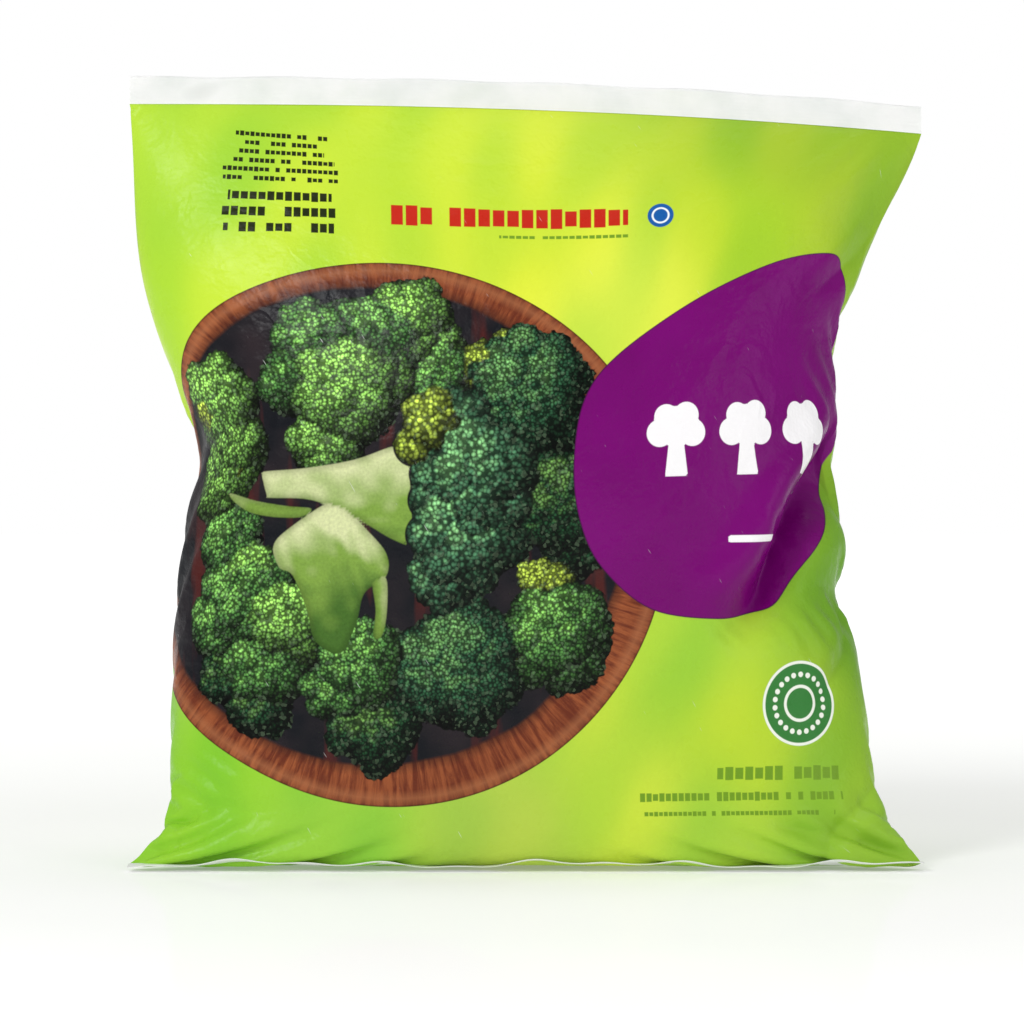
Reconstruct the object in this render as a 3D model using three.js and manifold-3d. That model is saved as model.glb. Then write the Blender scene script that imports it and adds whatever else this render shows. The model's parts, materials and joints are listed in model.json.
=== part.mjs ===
// A pillow bag of frozen broccoli florets, standing on its base.
//
// One web of printed film is wrapped into a sleeve, welded down the back with a fin seam and
// welded shut across both ends. The florets lie loose inside, piled from the base up.
// Millimetres, +Z up, front facing -Y, origin on the ground at the middle of the bag's box.
import * as THREE from "three";
import { mergeVertices } from "three/addons/utils/BufferGeometryUtils.js";
import Module from "manifold-3d";

// ---------- driving dimensions ----------
const FLAT_WIDTH = 280; // the sleeve pressed flat, fold to fold
const SLEEVE_TOP = 262; // height of the top weld's lower edge above the ground
const TOP_DROP = 10.5; // how much lower the right end of the top weld stands than the left
const BELLY_DEPTH = 96; // front to back at the fullest height
const BELLY_HEIGHT = 140; // where the bag is fullest
const BASE_DEPTH = 54; // flat part of the base, front to back
const BASE_CORNER_HEIGHT = 18; // height over which the base turns up into the sides
const BASE_CORNER_REACH = 13; // how far the base corner reaches out past the flat part
const SEAL_LINE_Y = -27; // the bottom weld lies towards the front of the base
const TOP_LEAN = 8; // how far back the top weld stands from the middle of the belly
const EAR_RISE = 90; // height at which the side edges have come back from the weld's plane
const PLEAT_SHARE = 0.035; // share of the girth that side pleats take up at the belly

const FILM = 0.5; // thickness of one film layer
const SLIT = 0.3; // free space left between the two layers at the top of the sleeve
const BASE_SLIT = 1; // and where they fold apart at the bottom weld
const WELD_HEIGHT = 10; // top and bottom weld bands
const SEAM_WIDTH = 14; // fin seam lying flat against the back
const SEAM_FOOT = 22; // height at which the fin seam starts, above the base corner
const CLEARANCE = 0.35; // gap between pieces that touch

const NET_WEIGHT = 800; // grams of florets
const FLORET_DENSITY = 0.7; // grams per cubic centimetre of a floret's outline
const CROWN_RADIUS = 28; // half the width of an average crown
const SIZE_SPREAD = 0.1; // florets are this share larger or smaller than the average
const STEM_RADIUS = 9;
const STEM_LENGTH = 27;
const FLORET_GAP = 1.6; // free space aimed for around each floret while they settle
const LEAST_GAP = 0.8; // and the least that the settled pile may keep

// ---------- film resolution ----------
const COLUMNS = 22; // steps across the front, and again across the back
const BASE_ROWS = 7; // steps from the bottom weld to the top of the base corner
const BODY_ROWS = 15; // steps from there to the top weld

const wasm = await Module();
wasm.setup();

// A repeatable stream of numbers from 0 to 1.
function numbers(seed) {
  let state = seed;
  return () => {
    state = (state + 0x6d2b79f5) | 0;
    let t = Math.imul(state ^ (state >>> 15), 1 | state);
    t = (t + Math.imul(t ^ (t >>> 7), 61 | t)) ^ t;
    return ((t ^ (t >>> 14)) >>> 0) / 2 ** 32;
  };
}

// ---------- the sleeve's shape ----------
const bellyHalf = BELLY_DEPTH / 2;
const cornerHalf = BASE_DEPTH / 2 + BASE_CORNER_REACH;
const layersHalf = FILM + SLIT / 2; // half the thickness of the two layers lying together
const foldHalf = FILM + BASE_SLIT / 2; // the same, where they fold apart at the bottom weld

// Half the bag's depth at a height above the base corner: full in the middle, closing to
// nothing at the top weld.
function halfDepth(z) {
  if (z < BELLY_HEIGHT) {
    const below = (BELLY_HEIGHT - z) / (BELLY_HEIGHT - BASE_CORNER_HEIGHT);
    return bellyHalf - (bellyHalf - cornerHalf) * below ** 1.3;
  }
  const above = (z - BELLY_HEIGHT) / (SLEEVE_TOP - BELLY_HEIGHT);
  return bellyHalf * (1 - above ** 2);
}

// Length round an ellipse with these half axes.
function girth(a, b) {
  const h = ((a - b) / (a + b)) ** 2;
  return Math.PI * (a + b) * (1 + (3 * h) / (10 + Math.sqrt(4 - 3 * h)));
}

// The film doesn't stretch, so a deeper section is a narrower one.
function halfWidth(depthHalf) {
  const flat = 2 * FLAT_WIDTH;
  const length = flat * (1 - (PLEAT_SHARE * depthHalf) / bellyHalf);
  let low = 0;
  let high = FLAT_WIDTH / 2;
  while (high - low > 0.01) {
    const middle = (low + high) / 2;
    if (girth(middle, depthHalf) > length) high = middle;
    else low = middle;
  }
  return low;
}

const leanAt = (z) => TOP_LEAN * (z / SLEEVE_TOP) ** 1.5;

// The side edges start in the bottom weld's plane and come back to the middle higher up.
const edgeAt = (z) => leanAt(z) + SEAL_LINE_Y * Math.max(0, 1 - z / EAR_RISE) ** 2;

// One row of the sleeve: its side edge, the middle of its front and of its back, and the way
// that the front layer lies from the middle of the film.
function bodyRow(share) {
  const z = BASE_CORNER_HEIGHT + (SLEEVE_TOP - BASE_CORNER_HEIGHT) * share;
  const depth = halfDepth(z);
  return {
    edge: new THREE.Vector3(halfWidth(depth), edgeAt(z), z),
    front: new THREE.Vector3(0, leanAt(z) - depth, z),
    back: new THREE.Vector3(0, leanAt(z) + depth, z),
    layer: new THREE.Vector3(0, -layersHalf, 0),
  };
}

// Below the base corner the front turns straight under to the weld, while the back runs
// along the ground first. The side edges run out into an ear at each end of the weld.
const FLAT_SHARE = 0.62; // share of the back's base rows that lie on the ground
const CORNER_SHARE = 0.6; // share of the way in from the side edges that the base curves up

function baseRow(share) {
  const corner = bodyRow(0);
  const lift = foldHalf * Math.SQRT1_2;
  const turn = (share * Math.PI) / 2;
  const front = new THREE.Vector3(
    0,
    SEAL_LINE_Y + (corner.front.y - SEAL_LINE_Y) * Math.sin(turn),
    lift + (BASE_CORNER_HEIGHT - lift) * (1 - Math.cos(turn)),
  );
  const along = Math.min(1, share / FLAT_SHARE);
  const round = (Math.max(0, share - FLAT_SHARE) / (1 - FLAT_SHARE)) * (Math.PI / 2);
  const flatEnd = BASE_DEPTH / 2;
  const back = new THREE.Vector3(
    0,
    SEAL_LINE_Y + (flatEnd - SEAL_LINE_Y) * along + (corner.back.y - flatEnd) * Math.sin(round),
    BASE_CORNER_HEIGHT * (1 - Math.cos(round)),
  );
  const ear = FLAT_WIDTH / 2 - corner.edge.x;
  const edge = new THREE.Vector3(
    corner.edge.x + ear * (1 - share) ** 1.4,
    SEAL_LINE_Y + (corner.edge.y - SEAL_LINE_Y) * share,
    lift + (BASE_CORNER_HEIGHT - lift) * share ** 1.3,
  );
  const layer = new THREE.Vector3(0, -lift, lift).lerp(corner.layer, share);
  return { edge, front, back, layer };
}

const rows = [];
for (let i = 0; i < BASE_ROWS; i++) rows.push(baseRow(i / BASE_ROWS));
for (let i = 0; i <= BODY_ROWS; i++) rows.push(bodyRow(i / BODY_ROWS));

// A point of a row, at an angle from the right edge (0) over the front (90) to the left (180)
// and over the back (270) round to the right edge again.
function rowPoint(row, angle) {
  const side = Math.sin(angle) >= 0 ? 1 : -1;
  const bulge = Math.abs(Math.sin(angle));
  const middle = side > 0 ? row.front : row.back;
  const point = row.edge.clone().lerp(middle, bulge);
  point.x = row.edge.x * Math.cos(angle);
  point.z = THREE.MathUtils.lerp(row.edge.z, middle.z, Math.min(1, bulge / CORNER_SHARE));
  point.addScaledVector(row.layer, side * Math.min(1, bulge * 8));
  point.z -= (TOP_DROP / FLAT_WIDTH) * point.x * (point.z / SLEEVE_TOP) ** 2;
  point.z = Math.max(0, point.z);
  return point;
}

const AROUND = 2 * COLUMNS;

// Joins two grids of points, row by row round the sleeve, into one closed skin.
function skinGeometry(outer, inner) {
  const vertices = [...outer.flat(), ...inner.flat()];
  const innerStart = outer.length * AROUND;
  const indices = [];
  const quad = (a, b, c, d) => indices.push(a, b, c, a, c, d);
  for (let j = 0; j < AROUND; j++) {
    const k = (j + 1) % AROUND;
    for (let i = 0; i + 1 < outer.length; i++) {
      const low = i * AROUND;
      const high = low + AROUND;
      quad(low + k, low + j, high + j, high + k);
      quad(innerStart + low + j, innerStart + low + k, innerStart + high + k, innerStart + high + j);
    }
    const top = (outer.length - 1) * AROUND;
    quad(j, k, innerStart + k, innerStart + j);
    quad(top + k, top + j, innerStart + top + j, innerStart + top + k);
  }
  const geometry = new THREE.BufferGeometry().setFromPoints(vertices);
  geometry.setIndex(indices);
  return geometry;
}

// The outward direction at each point of the sleeve's outer grid.
function gridNormals(grid) {
  return grid.map((row, i) =>
    row.map((_, j) => {
      const up = grid[Math.min(i + 1, grid.length - 1)][j].clone();
      up.sub(grid[Math.max(i - 1, 0)][j]);
      const round = row[(j + 1) % AROUND].clone().sub(row[(j + AROUND - 1) % AROUND]);
      return round.cross(up).normalize().negate();
    }),
  );
}

const outerGrid = rows.map((row) =>
  Array.from({ length: AROUND }, (_, j) => rowPoint(row, (j * 2 * Math.PI) / AROUND)),
);
const outward = gridNormals(outerGrid);
const innerGrid = outerGrid.map((row, i) =>
  row.map((point, j) => point.clone().addScaledVector(outward[i][j], -FILM)),
);

// ---------- welds and seam ----------
// A strip between two lines of points, thickened to one closed slab along a direction each.
function slabGeometry(lines, directions, thickness) {
  const count = lines[0].length;
  const faces = lines.length * count;
  const vertices = [
    ...lines.flat(),
    ...lines.flatMap((line, i) =>
      line.map((point, j) => point.clone().addScaledVector(directions[i][j], thickness)),
    ),
  ];
  const indices = [];
  const quad = (a, b, c, d) => indices.push(a, b, c, a, c, d);
  const at = (i, j) => i * count + j;
  for (let i = 0; i + 1 < lines.length; i++) {
    for (let j = 0; j + 1 < count; j++) {
      quad(at(i, j), at(i, j + 1), at(i + 1, j + 1), at(i + 1, j));
      quad(faces + at(i + 1, j), faces + at(i + 1, j + 1), faces + at(i, j + 1), faces + at(i, j));
    }
    const last = count - 1;
    quad(at(i, last), faces + at(i, last), faces + at(i + 1, last), at(i + 1, last));
    quad(at(i + 1, 0), faces + at(i + 1, 0), faces + at(i, 0), at(i, 0));
  }
  const end = lines.length - 1;
  for (let j = 0; j + 1 < count; j++) {
    quad(at(0, j + 1), at(0, j), faces + at(0, j), faces + at(0, j + 1));
    quad(at(end, j), at(end, j + 1), faces + at(end, j + 1), faces + at(end, j));
  }
  const geometry = new THREE.BufferGeometry().setFromPoints(vertices);
  geometry.setIndex(indices);
  return geometry;
}

const WELD_STEPS = 14; // steps along a weld band
const acrossWeld = Array.from(
  { length: WELD_STEPS + 1 },
  (_, j) => FLAT_WIDTH * (j / WELD_STEPS - 0.5),
);

// The top weld stands in line with the end of the sleeve.
function topWeldGeometry() {
  const lines = [0, WELD_HEIGHT].map((height) =>
    acrossWeld.map((x) => {
      const z = SLEEVE_TOP - (TOP_DROP / FLAT_WIDTH) * x + CLEARANCE + height;
      return new THREE.Vector3(x, TOP_LEAN - FILM, z);
    }),
  );
  const back = lines.map((line) => line.map(() => new THREE.Vector3(0, 1, 0)));
  return slabGeometry(lines, back, 2 * FILM);
}

// The bottom weld lies flat on the ground, pointing forward from the end of the sleeve.
function bottomWeldGeometry() {
  const nearEdge = SEAL_LINE_Y - foldHalf * Math.SQRT1_2 - CLEARANCE;
  const lines = [WELD_HEIGHT, 0].map((reach) =>
    acrossWeld.map((x) => new THREE.Vector3(x, nearEdge - reach, 0)),
  );
  const down = lines.map((line) => line.map(() => new THREE.Vector3(0, 0, 1)));
  return slabGeometry(lines.reverse(), down, FILM);
}

// The fin seam is folded flat against the middle of the back, from the base corner to the top.
function finSeamGeometry() {
  const backMiddle = (3 * AROUND) / 4;
  const first = outerGrid.findIndex((row) => row[backMiddle].z >= SEAM_FOOT);
  const lines = [];
  const directions = [];
  for (let i = first; i < outerGrid.length; i++) {
    const centre = outerGrid[i][backMiddle];
    const normal = outward[i][backMiddle];
    const lifted = centre.clone().addScaledVector(normal, CLEARANCE);
    lines.push(
      [-1, 1].map((side) => lifted.clone().add(new THREE.Vector3((side * SEAM_WIDTH) / 2, 0, 0))),
    );
    directions.push([normal, normal]);
  }
  return slabGeometry(lines, directions, FILM);
}

// ---------- florets ----------
// A floret has its crown on a short cut stem. Its axis is +Z, with the crown's middle at 0.
// The crown is a dome of rounded lobes, one on top and a ring of them round it.
const RING_LOBES = 6;

function lobesOf(size, random) {
  const radius = CROWN_RADIUS * size;
  const lobes = [{ centre: new THREE.Vector3(0, 0, radius * 0.3), radius: radius * 0.5 }];
  for (let k = 0; k < RING_LOBES; k++) {
    const angle = ((k + 0.35 * random()) / RING_LOBES) * 2 * Math.PI;
    const lobe = radius * (0.42 + 0.07 * random());
    const reach = radius - lobe;
    lobes.push({
      centre: new THREE.Vector3(
        reach * Math.cos(angle),
        reach * Math.sin(angle),
        radius * (0.02 + 0.1 * random()),
      ),
      radius: lobe,
    });
  }
  return lobes;
}

// Distance from the crown's middle to its surface, along a direction.
function reachOf(lobes, direction) {
  let furthest = 0;
  for (const { centre, radius } of lobes) {
    const along = centre.dot(direction);
    const inside = along * along - centre.lengthSq() + radius * radius;
    if (inside > 0) furthest = Math.max(furthest, along + Math.sqrt(inside));
  }
  return furthest;
}

function solid(geometry) {
  const bare = geometry.clone();
  bare.deleteAttribute("normal");
  bare.deleteAttribute("uv");
  const merged = mergeVertices(bare, 1e-4);
  return new wasm.Manifold(
    new wasm.Mesh({
      numProp: 3,
      vertProperties: merged.attributes.position.array,
      triVerts: new Uint32Array(merged.index.array),
    }),
  );
}

function geometryOf(manifold) {
  const mesh = manifold.getMesh();
  const geometry = new THREE.BufferGeometry();
  geometry.setAttribute("position", new THREE.BufferAttribute(mesh.vertProperties, 3));
  geometry.setIndex(new THREE.BufferAttribute(mesh.triVerts, 1));
  return geometry;
}

function crownGeometry(lobes) {
  const ball = new THREE.SphereGeometry(1, 12, 8);
  ball.rotateX(Math.PI / 2);
  const places = ball.attributes.position;
  const direction = new THREE.Vector3();
  for (let i = 0; i < places.count; i++) {
    direction.fromBufferAttribute(places, i).normalize();
    direction.multiplyScalar(reachOf(lobes, direction));
    places.setXYZ(i, direction.x, direction.y, direction.z);
  }
  return ball;
}

// The stem widens into the crown and is cut square below.
function stemGeometry(size) {
  const radius = STEM_RADIUS * size;
  const length = STEM_LENGTH * size;
  const outline = [
    new THREE.Vector2(0, -length),
    new THREE.Vector2(radius * 0.92, -length),
    new THREE.Vector2(radius * 0.85, -length * 0.6),
    new THREE.Vector2(radius * 1.25, 0),
    new THREE.Vector2(0, radius * 0.5),
  ];
  const stem = new THREE.LatheGeometry(outline, 8);
  stem.rotateX(Math.PI / 2);
  return stem;
}

// The balls that stand for a floret while the pile settles.
function ballsOf(lobes, size) {
  const radius = STEM_RADIUS * size;
  const length = STEM_LENGTH * size;
  const stem = [0.35, 0.62, 0.8].map((share) => ({
    centre: new THREE.Vector3(0, 0, -length * share),
    radius: radius * 1.12,
  }));
  return [...lobes, ...stem];
}

function floretSolid(lobes, size) {
  return solid(crownGeometry(lobes)).add(solid(stemGeometry(size)));
}

const floretWeight = (floretSolid(lobesOf(1, numbers(1)), 1).volume() / 1000) * FLORET_DENSITY;
const floretCount = Math.round(NET_WEIGHT / floretWeight);

// ---------- settling the pile ----------
// Points and inward directions of the sleeve's inner wall, its front and its back.
const walls = [0, COLUMNS].map((start) =>
  innerGrid.flatMap((row, i) =>
    row
      .map((point, j) => ({ point, inward: outward[i][j].clone().negate() }))
      .slice(start, start + COLUMNS),
  ),
);

// Florets start small on a grid that fills this share of the bag, and grow while they sink.
const PILE_SHARE = 0.72;
const PER_LAYER = 6;

function startingPile(random) {
  const florets = [];
  const layers = Math.ceil(floretCount / PER_LAYER);
  const pileTop = SLEEVE_TOP * PILE_SHARE;
  for (let n = 0; n < floretCount; n++) {
    const layer = Math.floor(n / PER_LAYER);
    const place = n % PER_LAYER;
    const z = CROWN_RADIUS + ((pileTop - CROWN_RADIUS) * (layer + 0.5)) / layers;
    const wide = halfWidth(halfDepth(z)) * PILE_SHARE;
    const x = wide * ((place + 0.5 * (layer % 2) + 0.25) / (PER_LAYER / 2) - 1);
    const y = halfDepth(z) * 0.3 * (n % 2 ? 1 : -1) + leanAt(z);
    const size = 1 + SIZE_SPREAD * (2 * random() - 1);
    const lobes = lobesOf(size, random);
    const balls = ballsOf(lobes, size);
    const tilt = new THREE.Euler(Math.PI * random(), Math.PI * random(), 2 * Math.PI * random());
    florets.push({
      size,
      lobes,
      balls,
      at: balls.map(() => new THREE.Vector3()),
      position: new THREE.Vector3(x, y, z),
      turn: new THREE.Quaternion().setFromEuler(tilt),
    });
  }
  return florets;
}

const STARTING_SCALE = 0.4;
const GROW_STEPS = 220;
const SINK_PER_STEP = 0.4;
const MOST_REST_STEPS = 600;
const FAR_APART = 3.2 * CROWN_RADIUS; // florets with their middles this far apart can't touch
const GYRATION = 0.7 * CROWN_RADIUS; // how far a floret's mass lies from its middle

// How readily a floret gives way at a place on it: by shifting, and by turning.
function easeOf(floret, place, direction) {
  const arm = place.clone().sub(floret.position);
  return 1 + arm.cross(direction).lengthSq() / GYRATION ** 2;
}

// Pushes a floret at a place on it, as one rigid piece.
function pushFloret(floret, place, push) {
  const twist = place.clone().sub(floret.position).cross(push);
  const angle = twist.length() / GYRATION ** 2;
  floret.position.add(push);
  if (angle > 1e-7) {
    const turn = new THREE.Quaternion().setFromAxisAngle(twist.normalize(), angle);
    floret.turn.premultiply(turn).normalize();
  }
  placeBalls(floret);
}

// Moves a floret's balls to where the floret is now.
function placeBalls(floret) {
  floret.balls.forEach(({ centre }, k) => {
    floret.at[k].copy(centre).multiplyScalar(floret.scale);
    floret.at[k].applyQuaternion(floret.turn).add(floret.position);
  });
}

// Pushes two florets apart where their balls come closer than the gap. Returns the overlap.
function pushApart(first, second) {
  const away = new THREE.Vector3();
  let worst = 0;
  first.balls.forEach((ball, k) => {
    second.balls.forEach((other, l) => {
      away.subVectors(first.at[k], second.at[l]);
      const reach = (ball.radius + other.radius) * first.scale + FLORET_GAP;
      const overlap = reach - away.length();
      if (overlap <= 0) return;
      worst = Math.max(worst, overlap);
      away.normalize();
      const ease = easeOf(first, first.at[k], away) + easeOf(second, second.at[l], away);
      away.multiplyScalar(overlap / ease);
      const otherPlace = second.at[l].clone();
      pushFloret(first, first.at[k].clone(), away);
      pushFloret(second, otherPlace, away.negate());
    });
  });
  return worst;
}

// Pushes a floret in from the nearest part of each wall. Returns how far it reached past one.
function keepInside(floret) {
  const inside = new THREE.Vector3();
  let worst = 0;
  floret.balls.forEach((ball, k) => {
    for (const wall of walls) {
      let nearest = wall[0];
      let least = Infinity;
      for (const place of wall) {
        const distance = place.point.distanceToSquared(floret.at[k]);
        if (distance >= least) continue;
        least = distance;
        nearest = place;
      }
      const depth = inside.subVectors(floret.at[k], nearest.point).dot(nearest.inward);
      const overlap = ball.radius * floret.scale + FLORET_GAP - depth;
      if (overlap <= 0) continue;
      worst = Math.max(worst, overlap);
      const ease = easeOf(floret, floret.at[k], nearest.inward);
      const push = nearest.inward.clone().multiplyScalar(overlap / ease);
      pushFloret(floret, floret.at[k].clone(), push);
    }
  });
  return worst;
}

// One step of the pile: the florets sink, and whatever touches is pushed apart.
function stepPile(florets, scale, sink) {
  for (const floret of florets) {
    floret.scale = scale;
    floret.position.z -= sink;
    placeBalls(floret);
  }
  let worst = 0;
  florets.forEach((first, a) => {
    for (const second of florets.slice(a + 1)) {
      if (first.position.distanceTo(second.position) > FAR_APART * scale) continue;
      worst = Math.max(worst, pushApart(first, second));
    }
    worst = Math.max(worst, keepInside(first));
  });
  return worst;
}

// Fills the bag: the florets grow while they sink, and then rest until none are too close.
function settle(florets) {
  for (let step = 0; step < GROW_STEPS; step++) {
    const scale = STARTING_SCALE + ((1 - STARTING_SCALE) * step) / GROW_STEPS;
    stepPile(florets, scale, SINK_PER_STEP);
  }
  for (let step = 0; step < MOST_REST_STEPS; step++) {
    if (stepPile(florets, 1, 0) < FLORET_GAP - LEAST_GAP) return;
  }
}

// ---------- materials ----------
const PRINTED_FILM = new THREE.MeshStandardMaterial({ color: 0xa5d332, roughness: 0.35, metalness: 0 });
const CLEAR_FILM = new THREE.MeshStandardMaterial({ color: 0xe9ebec, roughness: 0.3, metalness: 0 });
const FROZEN_FLORET = new THREE.MeshStandardMaterial({ color: 0x4f7f38, roughness: 0.8, metalness: 0 });

function piece(name, geometry, material) {
  const mesh = new THREE.Mesh(geometry, material);
  mesh.name = name;
  return mesh;
}

// ---------- the bag ----------
const bag = new THREE.Group();
bag.add(piece("film_sleeve", skinGeometry(outerGrid, innerGrid), PRINTED_FILM));
bag.add(piece("top_weld", topWeldGeometry(), CLEAR_FILM));
bag.add(piece("bottom_weld", bottomWeldGeometry(), CLEAR_FILM));
bag.add(piece("back_fin_seam", finSeamGeometry(), PRINTED_FILM));

const pile = startingPile(numbers(7));
settle(pile);
pile.forEach((floret, n) => {
  const geometry = geometryOf(floretSolid(floret.lobes, floret.size));
  const mesh = piece(`floret_${String(n + 1).padStart(2, "0")}`, geometry, FROZEN_FLORET);
  mesh.position.copy(floret.position);
  mesh.quaternion.copy(floret.turn);
  bag.add(mesh);
});

// The origin is on the ground, at the middle of the bag's box.
const box = new THREE.Box3().setFromObject(bag, true);
const centre = box.getCenter(new THREE.Vector3());
bag.position.set(-centre.x, -centre.y, -box.min.z);

export default bag;
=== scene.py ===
import json
import math

import bmesh
import bpy
import numpy as np
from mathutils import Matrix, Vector
from mathutils.bvhtree import BVHTree
from mathutils.kdtree import KDTree

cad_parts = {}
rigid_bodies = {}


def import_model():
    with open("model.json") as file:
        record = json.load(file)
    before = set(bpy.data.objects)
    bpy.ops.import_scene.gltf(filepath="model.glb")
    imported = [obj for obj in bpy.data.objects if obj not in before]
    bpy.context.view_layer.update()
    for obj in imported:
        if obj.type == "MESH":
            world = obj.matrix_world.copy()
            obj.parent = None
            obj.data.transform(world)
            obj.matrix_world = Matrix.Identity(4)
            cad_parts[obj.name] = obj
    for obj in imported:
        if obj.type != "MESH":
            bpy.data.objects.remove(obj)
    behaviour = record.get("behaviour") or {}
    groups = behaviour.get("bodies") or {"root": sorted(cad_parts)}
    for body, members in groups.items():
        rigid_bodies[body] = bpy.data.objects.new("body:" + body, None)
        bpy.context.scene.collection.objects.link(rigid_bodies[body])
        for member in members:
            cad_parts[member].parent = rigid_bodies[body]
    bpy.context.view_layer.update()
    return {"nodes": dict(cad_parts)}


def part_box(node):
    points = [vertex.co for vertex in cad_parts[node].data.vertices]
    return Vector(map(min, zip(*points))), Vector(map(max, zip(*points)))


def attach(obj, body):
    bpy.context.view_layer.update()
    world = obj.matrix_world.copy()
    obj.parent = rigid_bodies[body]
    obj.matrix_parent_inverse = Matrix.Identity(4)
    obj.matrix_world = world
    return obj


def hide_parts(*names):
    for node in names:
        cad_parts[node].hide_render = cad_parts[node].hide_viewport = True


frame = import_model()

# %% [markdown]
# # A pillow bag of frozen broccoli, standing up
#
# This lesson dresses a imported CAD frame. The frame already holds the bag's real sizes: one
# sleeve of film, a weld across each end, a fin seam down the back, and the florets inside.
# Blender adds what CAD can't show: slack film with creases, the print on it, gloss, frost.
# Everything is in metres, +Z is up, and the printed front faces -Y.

MM = 0.001

# %% [markdown]
# ## Sizes that the film is cut and welded to
#
# On the real bag one web of film is 560 mm round, so it lies 280 mm wide when flat. Its sizes
# are read off the frame's nodes, never typed in again: the welds give the width, the height
# and how far the right end hangs lower, and the sleeve gives the depth of the belly.

# %% Read the sizes off the frame
film_low, film_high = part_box("film_sleeve")
top_low, top_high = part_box("top_weld")
foot_low, foot_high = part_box("bottom_weld")

FLAT_WIDTH = top_high[0] - top_low[0]
HALF = FLAT_WIDTH / 2
WELD = foot_high[1] - foot_low[1]
TOP_DROP = top_high[2] - top_low[2] - WELD
TOP_LEFT = top_high[2] - WELD
TOP_MIDDLE = TOP_LEFT - TOP_DROP / 2
TOP_Y = (top_low[1] + top_high[1]) / 2
SEAL_Y = foot_high[1] + 1 * MM  # where the film leaves the bottom weld
BELLY_HALF = (film_high[1] - film_low[1]) / 2 - 0.6 * MM  # room for the bumps over the florets
FOOT = 0.6 * MM  # how high the lowest film lies over the table
print(f"film {FLAT_WIDTH:.3f} wide, top at {TOP_LEFT:.3f}, belly {2 * BELLY_HALF:.3f} deep")

# %% [markdown]
# ## The bag's form before it creases
#
# Film bends freely but doesn't stretch. So at every height the way round the bag is the same,
# and where the bag is deep it has to be narrow. That one rule gives the outline: wide at both
# welds, drawn in at the belly. A lathe or a scaled box can't follow it, so the form is a grid
# of rows, each an ellipse whose width is solved from its depth.

# %% Depth and width of the bag at a height
BELLY_HEIGHT = 140 * MM
CORNER_HEIGHT = 18 * MM
CORNER_HALF = 40 * MM
CORNER_CURVE = 1.3  # above 1 the bag gets deep quickly over its foot
TOP_LEAN = 8 * MM  # the top weld stands this much behind the foot's middle
LEAN_CURVE = 1.5
FLAT_BASE_Y = TOP_Y - TOP_LEAN + 27 * MM  # the film lies on the table up to here
EDGE_RISE = 90 * MM  # above this the side fold no longer bends toward the bottom weld
PLEAT_SHARE = 0.035


def half_depth(z):
    """Half of how deep the bag is, front to back, at a height."""
    if z < BELLY_HEIGHT:
        below = min(1.0, (BELLY_HEIGHT - z) / (BELLY_HEIGHT - CORNER_HEIGHT))
        return BELLY_HALF - (BELLY_HALF - CORNER_HALF) * below**CORNER_CURVE
    above = (z - BELLY_HEIGHT) / (TOP_MIDDLE - BELLY_HEIGHT)
    return BELLY_HALF * max(0.0, 1 - above**2)


def girth(a, b):
    """Length round an ellipse with half axes a and b, by Ramanujan's second formula."""
    h = ((a - b) / (a + b)) ** 2
    return math.pi * (a + b) * (1 + 3 * h / (10 + math.sqrt(4 - 3 * h)))


def half_width(depth):
    """The half width whose girth is the film's, less what the side pleats take up."""
    length = 2 * FLAT_WIDTH * (1 - PLEAT_SHARE * depth / BELLY_HALF)
    low, high = 0.0, HALF
    while high - low > 1e-5:
        middle = (low + high) / 2
        if girth(middle, depth) > length:
            high = middle
        else:
            low = middle
    return low


print(f"half width at the belly: {half_width(BELLY_HALF):.4f}")

# %% [markdown]
# ## Three lines from weld to weld
#
# Each row hangs between three lines that run up the bag: the side fold, the middle of the
# front, and the middle of the back. The back's line first runs along the table, because the
# bag stands on it. The bottom weld lies forward, so the front's line turns up straight away.

# %% Lines up the front, the back and the side fold
LINE_POINTS = 60


def lean(z):
    """Where the middle of the bag's depth is at a height."""
    return TOP_Y - TOP_LEAN + TOP_LEAN * (z / TOP_MIDDLE) ** LEAN_CURVE


def evenly(points, steps):
    """The same line, with points at even distances along it."""
    line = np.array(points, float)
    run = np.r_[0, np.cumsum(np.linalg.norm(np.diff(line, axis=0), axis=1))]
    at = np.linspace(0, run[-1], steps + 1)
    return np.stack([np.interp(at, run, line[:, k]) for k in range(3)], axis=1)


def middle_line(side, steps):
    """side is -1 for the front and 1 for the back."""
    points = [(0, SEAL_Y, FOOT)]
    corner = SEAL_Y
    if side > 0:
        corner = FLAT_BASE_Y
        points += [(0, y, FOOT) for y in np.linspace(SEAL_Y, FLAT_BASE_Y, 12)[1:]]
    reach = abs(lean(CORNER_HEIGHT) + side * CORNER_HALF - corner)
    for turn in np.linspace(0, math.pi / 2, 9)[1:]:
        up = CORNER_HEIGHT * (1 - math.cos(turn)) + FOOT
        points.append((0, corner + side * reach * math.sin(turn), up))
    for z in np.linspace(CORNER_HEIGHT + 4 * MM, TOP_MIDDLE, LINE_POINTS):
        points.append((0, lean(z) + side * half_depth(z), z))
    return evenly(points, steps)


def fold_line(steps):
    """The side fold. It starts at the end of the bottom weld, which sticks out as an ear."""

    def fold_y(z):
        return lean(z) + (SEAL_Y - lean(0)) * max(0.0, 1 - z / EDGE_RISE) ** 2

    points = [(HALF, SEAL_Y, FOOT)]
    side = half_width(half_depth(CORNER_HEIGHT))
    for share in np.linspace(0.1, 1, 10):
        out = side + (HALF - side) * (1 - share) ** 1.4
        y = SEAL_Y + (fold_y(CORNER_HEIGHT) - SEAL_Y) * share
        points.append((out, y, FOOT + (CORNER_HEIGHT - FOOT) * share**1.3))
    for z in np.linspace(CORNER_HEIGHT + 4 * MM, TOP_MIDDLE, LINE_POINTS):
        points.append((half_width(half_depth(z)), fold_y(z), z))
    return evenly(points, steps)


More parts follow.
